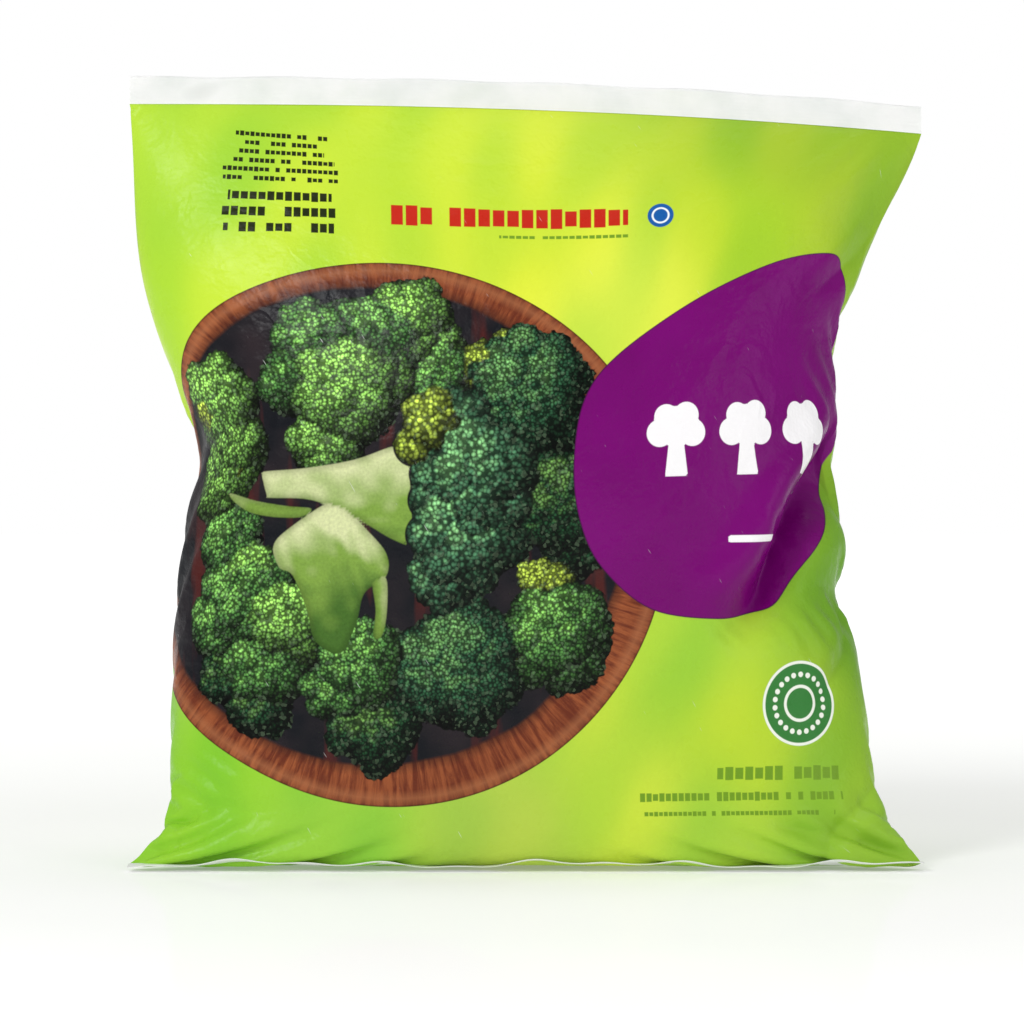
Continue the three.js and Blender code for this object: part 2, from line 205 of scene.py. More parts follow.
print("the back starts", round((FLAT_BASE_Y - SEAL_Y) / MM), "mm behind the bottom weld")

# %% [markdown]
# ## The sleeve as one grid
#
# Rows go up from the bottom weld to the top weld. Columns go round: across the front from the
# left fold to the right fold, then back across the rear. The last column meets the first, so
# the film has no loose edge and every crease can run on round the side, as on the real bag.

# %% Wrap the rows round the three lines
COLUMNS = 72  # across one panel, before the cells are cut smaller
ROWS = 80
FINER = 6  # points of an ellipse for each column, before they are spaced evenly


def sag(x):
    """How much lower the top weld hangs at x than at its left end."""
    return TOP_DROP * np.clip((x + HALF) / FLAT_WIDTH, 0, 1) ** 2.4


def wrapped_sleeve():
    """The sleeve's points: rows from weld to weld, columns once round."""
    fold, front, back = fold_line(ROWS), middle_line(-1, ROWS), middle_line(1, ROWS)
    turn = math.pi * (1 - np.arange(FINER * COLUMNS + 1) / (FINER * COLUMNS))
    bulge = np.sin(turn)[None, :, None]
    panels = []
    for middle in (front, back):
        panel = fold[:, None, :] * (1 - bulge) + middle[:, None, :] * bulge
        panel[..., 0] = fold[:, None, 0] * np.cos(turn)
        panels.append(np.stack([evenly(row, COLUMNS) for row in panel]))
    sleeve = np.concatenate([panels[0], panels[1][:, -2:0:-1]], axis=1)
    height = np.clip(sleeve[..., 2] / TOP_MIDDLE, 0, 1) ** 2
    sleeve[..., 2] += (TOP_DROP / 2 - sag(sleeve[..., 0])) * height
    return sleeve


form = wrapped_sleeve()
print("sleeve grid", form.shape[:2], "top", round(float(form[..., 2].max()), 4))

# %% [markdown]
# ## Where the contents and the handling show
#
# Florets press soft bumps into the film. A bag that has been picked up isn't the same on both
# sides: it has dents at its side folds, and stands out between them. All of it is laid into
# the target form first. The film is slacker than that form, so it creases around by itself.

# %% Bumps over the florets, and dents from handling
BUMP = 2.4 * MM
BUMP_SPREAD = 19 * MM
DENTS = [  # x, z, reach across, reach up, how far in (below 0 is out), how far back
    (-0.122, 0.145, 0.012, 0.008, 0.0075, 0.004),
    (-0.125, 0.204, 0.030, 0.026, -0.0125, 0.0),
    (-0.125, 0.078, 0.024, 0.038, -0.0062, 0.0),
    (0.130, 0.226, 0.014, 0.010, 0.0050, 0.003),
    (0.124, 0.186, 0.022, 0.020, 0.0130, 0.003),
    (0.119, 0.138, 0.016, 0.012, 0.0080, 0.004),
    (0.119, 0.096, 0.016, 0.007, 0.0135, 0.003),
    (0.134, 0.012, 0.020, 0.008, -0.0050, 0.0),
]
florets = sorted(name for name in frame["nodes"] if name.startswith("floret_"))


def with_bumps_and_dents(sleeve):
    """The sleeve with the florets and the handling pressed into it, but not into its welds."""
    shaped = sleeve.copy()
    facing = np.sign(sleeve[..., 1] - lean(np.maximum(sleeve[..., 2], 0)))
    for name in florets:
        low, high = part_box(name)
        x, y, z = [(a + b) / 2 for a, b in zip(low, high)]
        away = (sleeve[..., 0] - x) ** 2 + (sleeve[..., 2] - z) ** 2
        near = np.clip(facing * (y - lean(z)) / (BELLY_HALF / 2), 0, 1)
        shaped[..., 1] += facing * near * BUMP * np.exp(-away / (2 * BUMP_SPREAD**2))
    for x, z, across, up, inward, back in DENTS:
        off = ((sleeve[..., 0] - x) / across) ** 2 + ((sleeve[..., 2] - z) / up) ** 2
        near = np.exp(-off / 2)
        shaped[..., 0] -= np.sign(x) * inward * near
        shaped[..., 1] += np.where(facing < 0, back, 0) * near
    shaped[0], shaped[-1] = sleeve[0], sleeve[-1]
    return shaped


target = with_bumps_and_dents(form)
print(len(florets), "florets press on the film,", len(DENTS), "dents")

# %% [markdown]
# ## Let the film crease by itself
#
# Blender's cloth is made for woven goods that stretch; film doesn't, and its creases are
# sharp. So the sheet is relaxed here by position-based dynamics, the method that cloth solvers
# use, in a few lines of numpy. Every grid edge keeps its flat length. The welds are pinned, a
# little air pushes outward, and the film is up to 1.6% longer than its form needs. It has to
# lose that length somewhere, and so it creases, most of all at the folds and the corners.

# %% A sheet of film that keeps its lengths
CRUSH = 0.9  # how strongly film resists being pushed together, beside being pulled
SKEW = 0.35  # and being sheared
PASSES = 8  # times that all lengths are put right in one step
GLIDE = 0.9  # share of its last move that a point makes again
WEIGHT = 0.2  # beside the push of the air
LAYER_GAP = 0.4 * MM


def pull_together(a, b, rest, free_a, free_b, strength, crush):
    """Moves two sets of points until they are their rest length apart. Returns both moves."""
    line = b - a
    length = np.sqrt((line * line).sum(-1)) + 1e-12
    change = np.where(length < rest, crush, strength) * (length - rest) / length
    move = (change / np.maximum(free_a + free_b, 1e-9))[..., None] * line
    return move * free_a[..., None], -move * free_b[..., None]


class Film:
    """A closed sleeve of film: rows go up, columns go round, the first and last row are held."""

    def __init__(self, points, target, across, up):
        self.points, self.target, self.across, self.up = points, target, across, up
        self.skew = np.hypot(across, up)
        self.speed = np.zeros_like(points)
        self.free = np.ones(points.shape[:2])
        self.free[[0, -1]] = 0

    def outward(self):
        """The direction straight out of the film at each point."""
        p = self.points
        round_ = np.roll(p, -1, 1) - np.roll(p, 1, 1)
        rise = np.gradient(p, axis=0)
        normal = np.cross(round_, rise)
        return normal / (np.linalg.norm(normal, axis=-1, keepdims=True) + 1e-12)

    def keep_rows(self):
        """Puts the lengths round the sleeve right, even pairs first and odd ones next."""
        for first in (0, 1):
            a = slice(first, None, 2)
            b = (np.arange(first, self.points.shape[1], 2) + 1) % self.points.shape[1]
            move_a, move_b = pull_together(
                self.points[:, a], self.points[:, b], self.across[:, a],
                self.free[:, a], self.free[:, b], 1.0, CRUSH,
            )
            self.points[:, a] += move_a
            self.points[:, b] += move_b

    def keep_columns(self, shift, rest, strength, crush):
        """The same up the sleeve. With a shift of 1 or -1 it is the cells' diagonals."""
        rows = self.points.shape[0]
        for first in (0, 1):
            a, b = slice(first, rows - 1, 2), slice(first + 1, rows, 2)
            upper = np.roll(self.points[b], -shift, axis=1)
            move_a, move_b = pull_together(
                self.points[a], upper, rest[a],
                self.free[a], np.roll(self.free[b], -shift, axis=1), strength, crush,
            )
            self.points[a] += move_a
            self.points[b] = np.roll(upper + move_b, shift, axis=1)

    def soften(self, amount):
        """A little stiffness against bending, so that creases aren't a grid cell wide."""
        p = self.points
        p += amount * ((np.roll(p, 1, 1) + np.roll(p, -1, 1)) / 2 - p) * self.free[..., None]
        p[1:-1] += amount * ((p[2:] + p[:-2]) / 2 - p[1:-1])

    def keep_apart(self):
        """Off the table, and the front never behind the back."""
        p = self.points
        p[..., 2] = np.maximum(p[..., 2], FOOT)
        columns = p.shape[1] // 2
        front, back = p[1:-1, 1:columns], p[1:-1, :columns:-1]
        overlap = np.maximum(0, LAYER_GAP - (back[..., 1] - front[..., 1])) / 2
        front[..., 1] -= overlap
        back[..., 1] += overlap

    def step(self, air, hold, stiffness):
        """One move of the air, the weight and the form's pull, then all lengths put right."""
        before = self.points.copy()
        push = GLIDE * self.speed + air * self.outward() + hold * (self.target - self.points)
        push[..., 2] -= WEIGHT * air
        self.points += push * self.free[..., None]
        for _ in range(PASSES):
            self.keep_rows()
            self.keep_columns(0, self.up, 1.0, CRUSH)
            self.keep_columns(1, self.skew, SKEW, SKEW)
            self.keep_columns(-1, self.skew, SKEW, SKEW)
            self.soften(stiffness)
            self.keep_apart()
        self.speed = self.points - before


print("film solver ready")

# %% [markdown]
# ## Coarse first, then fine
#
# Big folds need many steps to travel across a fine grid, and few across a coarse one. So the
# sheet settles coarse, then each cell is cut in four and it settles again for the small
# creases. Last it is cut once more without settling, only to be smooth and to carry the print.

# %% Relax the film at two grid sizes
FRONT_SLACK = 0.006  # spare length up the bag, as a share
FOLD_SLACK = 0.016
BACK_SLACK = 0.004
ROUND_SLACK = 0.004  # spare length round it
AIR = 0.02 * MM
HOLD = 0.02  # share of the way back to the form in each step
COARSE_STEPS = 110
FINE_STEPS = 48
START_RIPPLE = 2.5 * MM  # something for the creases to start from


def halve_cells(grid):
    """Twice the columns, which run round, and twice the rows, by a cubic through the points."""
    columns = np.repeat(grid, 2, axis=1)
    ahead, behind = np.roll(grid, -1, 1), np.roll(grid, 1, 1)
    columns[:, 1::2] = (9 * (grid + ahead) - behind - np.roll(grid, -2, 1)) / 16
    rows = np.empty((2 * columns.shape[0] - 1,) + columns.shape[1:])
    rows[::2] = columns
    rows[1::2] = (columns[:-1] + columns[1:]) / 2
    rows[3:-3:2] = (9 * (columns[1:-2] + columns[2:-1]) - columns[:-3] - columns[3:]) / 16
    return rows


def between(values):
    """Twice the values round the sleeve, with the means of neighbours put between them."""
    more = np.repeat(values, 2)
    more[1::2] = (values + np.roll(values, -1)) / 2
    return more


def column_lengths(sleeve):
    """The flat length of each column: its length on the form, and the slack it is given."""
    count = sleeve.shape[1]
    place = np.arange(count) / (count / 2)
    inside = np.sin(math.pi * (place % 1)) ** 0.7
    middle = np.where(place < 1, FRONT_SLACK, BACK_SLACK)
    slack = FOLD_SLACK + (middle - FOLD_SLACK) * inside
    return np.linalg.norm(np.diff(sleeve, axis=0), axis=-1).sum(0) * (1 + slack)


def ripples(shape, seed):
    """Smooth noise that runs round the sleeve, from -1 to 1."""
    draw = np.random.default_rng(seed)
    up = np.arange(shape[0])[:, None] / (shape[0] - 1)
    along = np.arange(shape[1])[None, :] / shape[1]
    total = np.zeros(shape)
    for _ in range(40):
        turns, climbs = draw.integers(-14, 15), draw.uniform(-7, 7)
        wave = np.cos(2 * math.pi * (turns * along + climbs * up) + draw.uniform(0, 6.28))
        total += wave / math.sqrt(1 + 0.15 * (turns**2 + climbs**2))
    return total / np.abs(total).max()


def row_lengths(aim):
    """How far apart the columns are in each row: what the form needs, and a little more."""
    ways = np.linalg.norm(np.roll(aim, -1, 1) - aim, axis=-1) * (1 + ROUND_SLACK)
    most = 2 * FLAT_WIDTH * 1.002
    return ways * np.minimum(1, most / ways.sum(1))[:, None]


def relaxed(points, aim, lengths, steps, air, stiffness):
    """The film's points after some steps, starting from these points."""
    across = row_lengths(aim)
    up = np.repeat(lengths[None] / (points.shape[0] - 1), points.shape[0], axis=0)
    film = Film(points, aim, across, up)
    for _ in range(steps):
        film.step(air, HOLD, stiffness)
    return film.points


def pinned_welds(sleeve):
    """Both welds are a little wavy. They are pinned, so their waves are given here."""
    x = sleeve[0, :, 0]
    sleeve[0, :, 0] *= 0.99
    sleeve[0, :, 2] += 0.8 * MM * (1 + np.sin(x * 95 + 1) * np.sin(x * 41 + 2))
    x = sleeve[-1, :, 0]
    sleeve[-1, :, 1] += 1.1 * MM * np.sin(x * 38 + 0.6) * np.sin(x * 17 + 2.2)


pinned_welds(form)
target[[0, -1]] = form[[0, -1]]
lengths = column_lengths(form)
sleeve = form + START_RIPPLE * ripples(form.shape[:2], 3)[..., None] * np.array([0.3, 1, 0])
sleeve[[0, -1]] = form[[0, -1]]
sleeve = relaxed(sleeve, target, lengths, COARSE_STEPS, AIR, 0.02)
lengths = between(lengths)
sleeve = relaxed(halve_cells(sleeve), halve_cells(target), lengths, FINE_STEPS, AIR / 2, 0.04)
settled = sleeve.reshape(-1, 3)
print("settled film from", settled.min(0).round(4), "to", settled.max(0).round(4))

# %% [markdown]
# ## Creases that a hand made
#
# The solver makes the small creases. Others are there because somebody held the bag: a long
# one that runs down from the right side fold, and short ones toward the corners. They are
# pressed in along lines on the flat film. Each is a valley with a low ridge along its upper
# side. Sculpting would do it too, but a few numbers are easier to move, and stay the same.

# %% Cut the cells once more, and press in the creases
sleeve = halve_cells(sleeve)
ROUND = sleeve.shape[1] // 2  # columns in one panel
LENGTHS = between(lengths)
UPWARD = np.linspace(0, 1, sleeve.shape[0])


def film_places(first, last):
    """Where each grid point is on the flat film: mm across, and mm up from the bottom weld."""
    across = np.abs((np.arange(first, last + 1) / ROUND + 1) % 2 - 1)
    u = (across * 2 - 1) * HALF / MM
    v = UPWARD[:, None] * LENGTHS[np.arange(first, last + 1) % (2 * ROUND)][None] / MM
    return np.broadcast_to(u[None], v.shape), v


def outward_of(points):
    """The direction straight out of the film at each grid point."""
    round_ = np.roll(points, -1, 1) - np.roll(points, 1, 1)
    normal = np.cross(round_, np.gradient(points, axis=0))
    return normal / (np.linalg.norm(normal, axis=-1, keepdims=True) + 1e-12)


def smooth_outward(points):
    """The same with small pleats averaged away, so that a crease is pressed in straight."""
    normal = outward_of(points)
    for _ in range(60):
        normal = (np.roll(normal, 1, 1) + 2 * normal + np.roll(normal, -1, 1)) / 4
        normal[1:-1] = (normal[:-2] + 2 * normal[1:-1] + normal[2:]) / 4
    return normal / (np.linalg.norm(normal, axis=-1, keepdims=True) + 1e-12)


CREASES = [  # from (u, v) to (u, v) on the front, width, depth, all in mm
    ((139, 160), (76, 88), 6.5, 15.0),
    ((134, 100), (112, 62), 3.2, 1.8),
    ((92, 20), (137, 12), 3.2, 3.0),
    ((106, 6), (135, 38), 2.4, 2.4),
    ((139, 238), (118, 206), 4.0, 2.6),
    ((-137, 21), (-104, 31), 3.4, 2.4),
]


def pressed_creases(points):
    """The sleeve with each crease pressed in: a valley, and a low ridge along one side."""
    shaped = points.copy()
    normal = smooth_outward(points)[:, : ROUND + 1]
    u, v = film_places(0, ROUND)
    height = np.zeros(u.shape)
    for start, end, width, depth in CREASES:
        line = np.subtract(end, start)
        length = np.hypot(*line)
        along = ((u - start[0]) * line[0] + (v - start[1]) * line[1]) / length
        beside = ((u - start[0]) * line[1] - (v - start[1]) * line[0]) / length
        beside = beside + 2.0 * np.sin(along * 0.11)
        share = np.clip(along / length, 0, 1)
        fade = np.clip(1 - (share - 0.5) ** 2 / 0.27, 0, 1) ** 0.7
        past = np.maximum(0, np.maximum(-along, along - length))
        fade = fade * np.exp(-((past / 4) ** 2))
        gentle = np.where(beside < 0, 1.3 * width, 1.5 * width)
        valley = np.exp(-np.abs(beside / gentle) ** 1.4)
        ridge = np.exp(-(((beside - 2.6 * width) / (1.3 * width)) ** 2))
        height += depth * fade * (0.35 * ridge - valley)
    rows = UPWARD[:, None]
    hold = np.clip(rows / 0.03, 0, 1) * np.clip((1 - rows) / 0.03, 0, 1)
    shaped[:, : ROUND + 1] += normal * (height * hold * MM)[..., None]
    return shaped


sleeve = pressed_creases(sleeve)
sleeve[..., 2] = np.maximum(sleeve[..., 2], FOOT)
print(len(CREASES), "creases pressed in, grid", sleeve.shape[:2])

# %% [markdown]
# ## From grids to meshes
#
# A grid of points becomes a mesh with one quad for each cell. Each point also keeps its place
# on the flat film, in millimetres, so the print can be drawn as it was on the printing press
# and then bends with the film. The same places, from 0 to 1, are the UV map.

# %% A mesh from a grid


def mesh_from_grid(name, grid, u, v, flip=False):
    """A mesh of quads that rides on the root, with u and v in mm on its points."""
    rows, columns = grid.shape[:2]
    index = np.arange(rows * columns).reshape(rows, columns)
    corners = [index[:-1, :-1], index[:-1, 1:], index[1:, 1:], index[1:, :-1]]
    if flip:
        corners = corners[::-1]
    quads = np.stack(corners, axis=-1).reshape(-1, 4)
    mesh = bpy.data.meshes.new(name)
    mesh.vertices.add(rows * columns)
    mesh.vertices.foreach_set("co", grid.reshape(-1))
    mesh.loops.add(quads.size)
    mesh.loops.foreach_set("vertex_index", quads.reshape(-1))
    mesh.polygons.add(len(quads))
    mesh.polygons.foreach_set("loop_start", np.arange(len(quads)) * 4)
    mesh.update(calc_edges=True)
    mesh.polygons.foreach_set("use_smooth", np.ones(len(quads), bool))
    flat = np.stack([u, v, np.zeros(u.shape)], axis=-1).reshape(-1, 3)
    place = mesh.attributes.new("film_mm", "FLOAT_VECTOR", "POINT")
    place.data.foreach_set("vector", flat.reshape(-1))
    low, high = flat.min(0)[:2], flat.max(0)[:2]
    unit = (flat[:, :2] - low) / (high - low)
    uv = mesh.uv_layers.new(name="OFBake")
    uv.data.foreach_set("uv", unit[quads.reshape(-1)].reshape(-1))
    mesh.validate()
    piece = bpy.data.objects.new(name, mesh)
    bpy.context.scene.collection.objects.link(piece)
    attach(piece, "root")
    return piece


FRONT_U, FRONT_V = film_places(0, ROUND)
BACK_U, BACK_V = film_places(ROUND, 2 * ROUND)
front_grid = sleeve[:, : ROUND + 1]
back_grid = np.concatenate([sleeve[:, ROUND:], sleeve[:, :1]], axis=1)[:, ::2]
film_front = mesh_from_grid("film_front", front_grid, FRONT_U, FRONT_V)
film_back = mesh_from_grid("film_back", back_grid, BACK_U[:, ::2], BACK_V[:, ::2])
for panel, fill in ((film_front, 0.55), (film_back, 0.5)):
    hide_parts("film_sleeve")
    print(panel.name, len(panel.data.polygons), "quads")

# %% [markdown]
# ## The welds
#
# Above and below the print the film is left clear, and hot jaws press its two layers into one
# band 10 mm high. Film shrinks a little where it is welded, so the band is wavy and its edge
# isn't quite straight. Each band is a thin closed strip that starts where the film ends.

# %% Strips for the two welds
STRIP_ROWS = 10
STRIP_THICK = 0.25 * MM


def closed_strip(name, front, back, node):
    """A strip of two grids, closed over its outer edge. It stands for a node of the frame."""
    grid = np.concatenate([front, back[::-1]], axis=0)
    step = np.linalg.norm(np.diff(grid, axis=0), axis=-1).mean(1)
    v = np.repeat(np.r_[0, np.cumsum(step)][:, None] / MM, grid.shape[1], axis=1)
    u = np.repeat(np.linspace(-HALF, HALF, grid.shape[1])[None] / MM, grid.shape[0], axis=0)
    piece = mesh_from_grid(name, grid, u, v)
    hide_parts(node)
    return piece


def top_strip():
    """The upper weld. It stands up, and sways forward and back toward its edge."""
    edge = sleeve[-1, : ROUND + 1]
    share = np.linspace(0, 1, STRIP_ROWS)[:, None]
    x = edge[:, 0]
    sway = np.sin(x * 60 + 1) * np.sin(x * 23) + 0.4 * np.sin(x * 170 + 2)
    lean_out = 0.9 * MM * sway[None] * share**2
    trim = 0.25 * MM * np.sin(x * 130)[None] * share
    layers = []
    for side in (-1, 1):
        layer = np.repeat(edge[None], STRIP_ROWS, axis=0)
        layer[..., 1] += lean_out + side * STRIP_THICK * np.sqrt(1.02 - share**4)
        layer[..., 2] += (WELD - 0.3 * MM) * share + trim
        layers.append(layer)
    return closed_strip("top_weld_band", layers[0], layers[1], "top_weld")


def bottom_strip():
    """The lower weld. It lies forward on the table, and is wavy where it lifts."""
    edge = sleeve[0, : ROUND + 1]
    share = np.linspace(0, 1, STRIP_ROWS)[:, None]
    x = edge[:, 0]
    wave = 1.5 * MM * (1 + np.sin(x * 88 + 0.7) * np.sin(x * 31 + 2))
    wave += 0.6 * MM * (1 + np.sin(x * 240 + 1))
    layers = []
    for side in (1, -1):
        layer = np.repeat(edge[None], STRIP_ROWS, axis=0)
        layer[..., 1] -= (WELD - 0.4 * MM) * share
        start = edge[None, :, 2]
        layer[..., 2] = start * (1 - share) + (wave[None] + 0.45 * MM) * share
        layer[..., 2] += side * STRIP_THICK * np.sqrt(1.02 - share**4)
        layers.append(layer)
    return closed_strip("bottom_weld_band", layers[0], layers[1], "bottom_weld")


top_weld_band = top_strip()
bottom_weld_band = bottom_strip()
print("welds made,", round(WELD / MM, 1), "mm high")

# %% [markdown]
# ## The fin seam
#
# The web of film is closed into a sleeve by one seam up the middle of the back. It is welded
# flat as a fin 14 mm wide and then folded to one side, so one edge is free and lifts a little.

# %% The fin, from the back's own middle columns
SEAM_HALF = (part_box("back_fin_seam")[1][0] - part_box("back_fin_seam")[0][0]) / 2
SEAM_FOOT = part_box("back_fin_seam")[0][2]


def fin_seam():
    """A closed strip over the back's middle columns, from above the table to the top weld."""
    reach = int(round(SEAM_HALF / (FLAT_WIDTH / ROUND)))
    middle = 2 * ROUND - ROUND // 2
    columns = np.arange(middle - reach, middle + reach + 1)
    heights = sleeve[:, middle, 2]
    first = int(np.argmax((heights > SEAM_FOOT) & (UPWARD > 0.15)))
    base = sleeve[first:, columns]
    normal = outward_of(sleeve)[first:, columns]
    share = np.linspace(0, 1, len(columns))[None, :, None]
    along = np.arange(base.shape[0])[:, None, None]
    lift = 0.35 + 0.5 * share**2 + 0.35 * share * np.sin(along * 0.09) * np.sin(along * 0.023)
    outer = base + normal * (lift + 0.25) * MM
    inner = base + normal * lift * MM
    grid = np.concatenate([inner, outer[:, ::-1]], axis=1)
    grid = np.concatenate([grid, grid[:, :1]], axis=1)
    u = np.repeat(np.linspace(0, 28, grid.shape[1])[None], grid.shape[0], axis=0)
    v = np.repeat(UPWARD[first:, None] * 285, grid.shape[1], axis=1)
    piece = mesh_from_grid("fin_seam_strip", grid, u, v, flip=True)
    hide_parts("back_fin_seam")
    return piece


fin_seam_strip = fin_seam()
print("fin seam", len(fin_seam_strip.data.polygons), "quads, from", round(SEAM_FOOT, 3))

# %% [markdown]
# ## The print: broccoli heads in a wooden bowl
#
# A printed picture has no depth, so it isn't modelled: it is colour on the film. Here it is
# made by formula. Each broccoli head is a few balls. Every point of the film takes the ball
# that stands nearest to the reader there, and is shaded as that ball would be in soft light
# from the upper left. Small balls on the big ones give a head its lumps. What comes out is
# stored on the points as colours, and as distances in mm to each outline, so that the shader
# can cut the outlines sharply.

# %% Colours, and distances to outlines
NOTHING = -1e3  # a height, or a distance inside, where there is nothing


def ink(red, green, blue):
    """A print colour as a press gives it, from 0 to 255, made linear for the shader."""
    value = np.array([red, green, blue]) / 255
    return np.where(value <= 0.04045, value / 12.92, ((value + 0.055) / 1.055) ** 2.4)


def smooth_outline(points, steps=8):
    """A closed line through the points, without corners."""
    line = np.array(points, float)
    ahead, behind = np.roll(line, -1, 0), np.roll(line, 1, 0)
    further = np.roll(line, -2, 0)
    out = []
    for t in np.linspace(0, 1, steps, endpoint=False):
        curve = 2 * line + (ahead - behind) * t
        curve = curve + (2 * behind - 5 * line + 4 * ahead - further) * t**2
        curve = curve + (3 * line - behind - 3 * ahead + further) * t**3
        out.append(curve / 2)
    return np.stack(out, axis=1).reshape(-1, 2)


def distance_inside(outline, u, v):
    """How far each place lies inside a closed outline, in mm. Outside it is negative."""
    nearest = np.full(u.shape, 1e9)
    inside = np.zeros(u.shape, bool)
    for (x0, y0), (x1, y1) in zip(outline, np.roll(outline, -1, 0)):
        dx, dy = x1 - x0, y1 - y0
        share = np.clip(((u - x0) * dx + (v - y0) * dy) / (dx * dx + dy * dy + 1e-9), 0, 1)
        nearest = np.minimum(nearest, np.hypot(u - x0 - share * dx, v - y0 - share * dy))
        crosses = (y0 > v) != (y1 > v)
        inside ^= crosses & (u < dx * (v - y0) / (dy if dy else 1e-9) + x0)
    return np.where(inside, nearest, -nearest)


def speckle(u, v, size, seed):
    """Soft noise from 0 to 1 with lumps of about this size in mm."""
    draw = np.random.default_rng(seed)
    total = np.zeros(u.shape)
    for _ in range(26):
        angle, phase = draw.uniform(0, 2 * math.pi, 2)
        pitch = 2 * math.pi / (size * draw.uniform(0.7, 1.7))
        total += np.sin((u * math.cos(angle) + v * math.sin(angle)) * pitch + phase)
    return 0.5 + 0.5 * np.tanh(total / 5)


print("ink and outline helpers ready")

# %% [markdown]
# ## Heads as groups of balls
#
# A head could be sculpted and its picture baked, but the print is only ever seen flat. So a
# head is a list of balls: a place on the film and a radius, in mm. The lift says which group
# hides which. The one large head in front has its own list, as its buds are drawn larger.

# %% Where the broccoli heads lie, in mm on the film
MIDGREEN = (82, 136, 68)
FRESH = (118, 172, 80)
BLUISH = (50, 98, 66)
TEAL = (76, 128, 92)
SHADY = (34, 76, 46)
YELLOW = (158, 180, 66)
HEADS = [  # back to front: colour, lift, then balls as (u, v, radius)
    (FRESH, 0, [(-43, 198, 16), (-33, 191, 11)]),
    (MIDGREEN, 2, [(-31, 179, 13)]),
    (BLUISH, 4, [(0, 174, 21), (11, 165, 13)]),
    (YELLOW, 9, [(-14, 183, 10), (-6, 189, 8)]),
    (SHADY, 0, [(12, 137, 18), (17, 120, 11)]),
    (MIDGREEN, 4, [(-75, 190, 15), (-63, 195, 12), (-53, 190, 15), (-82, 177, 13)]),
    (FRESH, 9, [(-63, 173, 19), (-49, 178, 10), (-71, 156, 14)]),
    (FRESH, 4, [(-112, 170, 16), (-108, 155, 15), (-114, 144, 13)]),
    (YELLOW, 10, [(-119, 168, 8), (-110, 147, 7)]),
    (MIDGREEN, 3, [(-108, 122, 13), (-100, 103, 18), (-110, 93, 13), (-93, 80, 16)]),
    (FRESH, 10, [(-98, 110, 11), (-84, 94, 15), (-92, 97, 10)]),
    (SHADY, 2, [(-108, 76, 11), (-98, 65, 12)]),
    (BLUISH, 5, [(-24, 78, 22), (-18, 86, 15)]),
    (YELLOW, 10, [(-6, 86, 9), (-5, 76, 7)]),
    (MIDGREEN, 6, [(11, 91, 19), (16, 82, 13)]),
    (YELLOW, 14, [(4, 109, 7), (11, 109, 6)]),
    (SHADY, 9, [(-55, 58, 16), (-48, 67, 11)]),
    (MIDGREEN, 14, [(-60, 78, 15), (-68, 70, 12), (-53, 85, 9)]),
]
FRONT_HEAD = [
    (TEAL, 34, [(-26, 160, 15), (-20, 144, 21), (-21, 125, 19), (-30, 110, 12)]),
    (TEAL, 38, [(-11, 138, 13), (-23, 150, 13), (-17, 121, 12)]),
    (YELLOW, 46, [(-34, 164, 10), (-40, 155, 7)]),
]
LIGHT = np.array([-0.38, 0.55, 0.74])  # toward the lamp: left, up and out of the film
print(len(HEADS) + len(FRONT_HEAD), "groups of balls")

# %% [markdown]
# ## Light on a head that isn't there
#
# Every point takes the ball on top there and is lit half by that ball, half by the large ball
# it sits on, so a head keeps its round form under its lumps. A point is darker where something
# higher stands near it, as between real heads: two rings of neighbours are asked how high
# they are. Rendering modelled heads would do the same, but the lesson would need two scenes.

# %% Shade the heads
HALO = ((4, 8), (9, 12))  # how far round a point, in cells, and in how many directions


def lumpy(balls, draw):
    """Each ball, and smaller balls spread over it, as (u, v, rise, radius, the ball)."""
    found = []
    for u, v, radius in balls:
        found.append((u, v, 0.0, radius, (u, v, radius)))
        for _ in range(int(radius * 1.5)):
            angle, out = draw.uniform(0, 2 * math.pi), radius * 0.86 * draw.uniform(0.1, 1) ** 0.5
            small = radius * draw.uniform(0.28, 0.42)
            rise = math.sqrt(radius**2 - out**2) * 0.8
            x, y = u + out * math.cos(angle), v + out * math.sin(angle)
            found.append((x, y, rise, small, (u, v, radius)))
    return found


def drawn_heads(groups, u, v, seed):
    """The colour at every place, and how far inside the heads it is."""
    draw = np.random.default_rng(seed)
    top = np.full(u.shape, NOTHING)
    normal = np.zeros(u.shape + (3,))
    base = np.zeros(u.shape + (3,))
    edge = np.full(u.shape, NOTHING)
    rim = np.zeros(u.shape)
    for colour, lift, balls in groups:
        for x, y, rise, radius, parent in lumpy(balls, draw):
            du, dv = u - x, v - y
            away = np.hypot(du, dv)
            inside = radius - away
            edge = np.maximum(edge, inside)
            dome = np.sqrt(np.maximum(radius**2 - away**2, 0))
            height = np.where(inside > 0, lift + rise + dome, NOTHING)
            wins = height > top
            top = np.where(wins, height, top)
            facing = np.stack([du, dv, dome + 0.2], axis=-1)[wins] / (radius + 0.2)
            out_u, out_v = (u - parent[0])[wins] / parent[2], (v - parent[1])[wins] / parent[2]
            flat = np.sqrt(np.maximum(1 - out_u**2 - out_v**2, 0.04))
            whole = np.stack([out_u, out_v, flat], axis=-1)
            normal[wins] = 0.45 * facing + 0.55 * whole
            rim[wins] = np.minimum(inside / radius, 1)[wins]
            base[wins] = ink(*colour)
    lit = np.clip(normal @ LIGHT, 0, 1)
    return top, lit, rim, base, edge


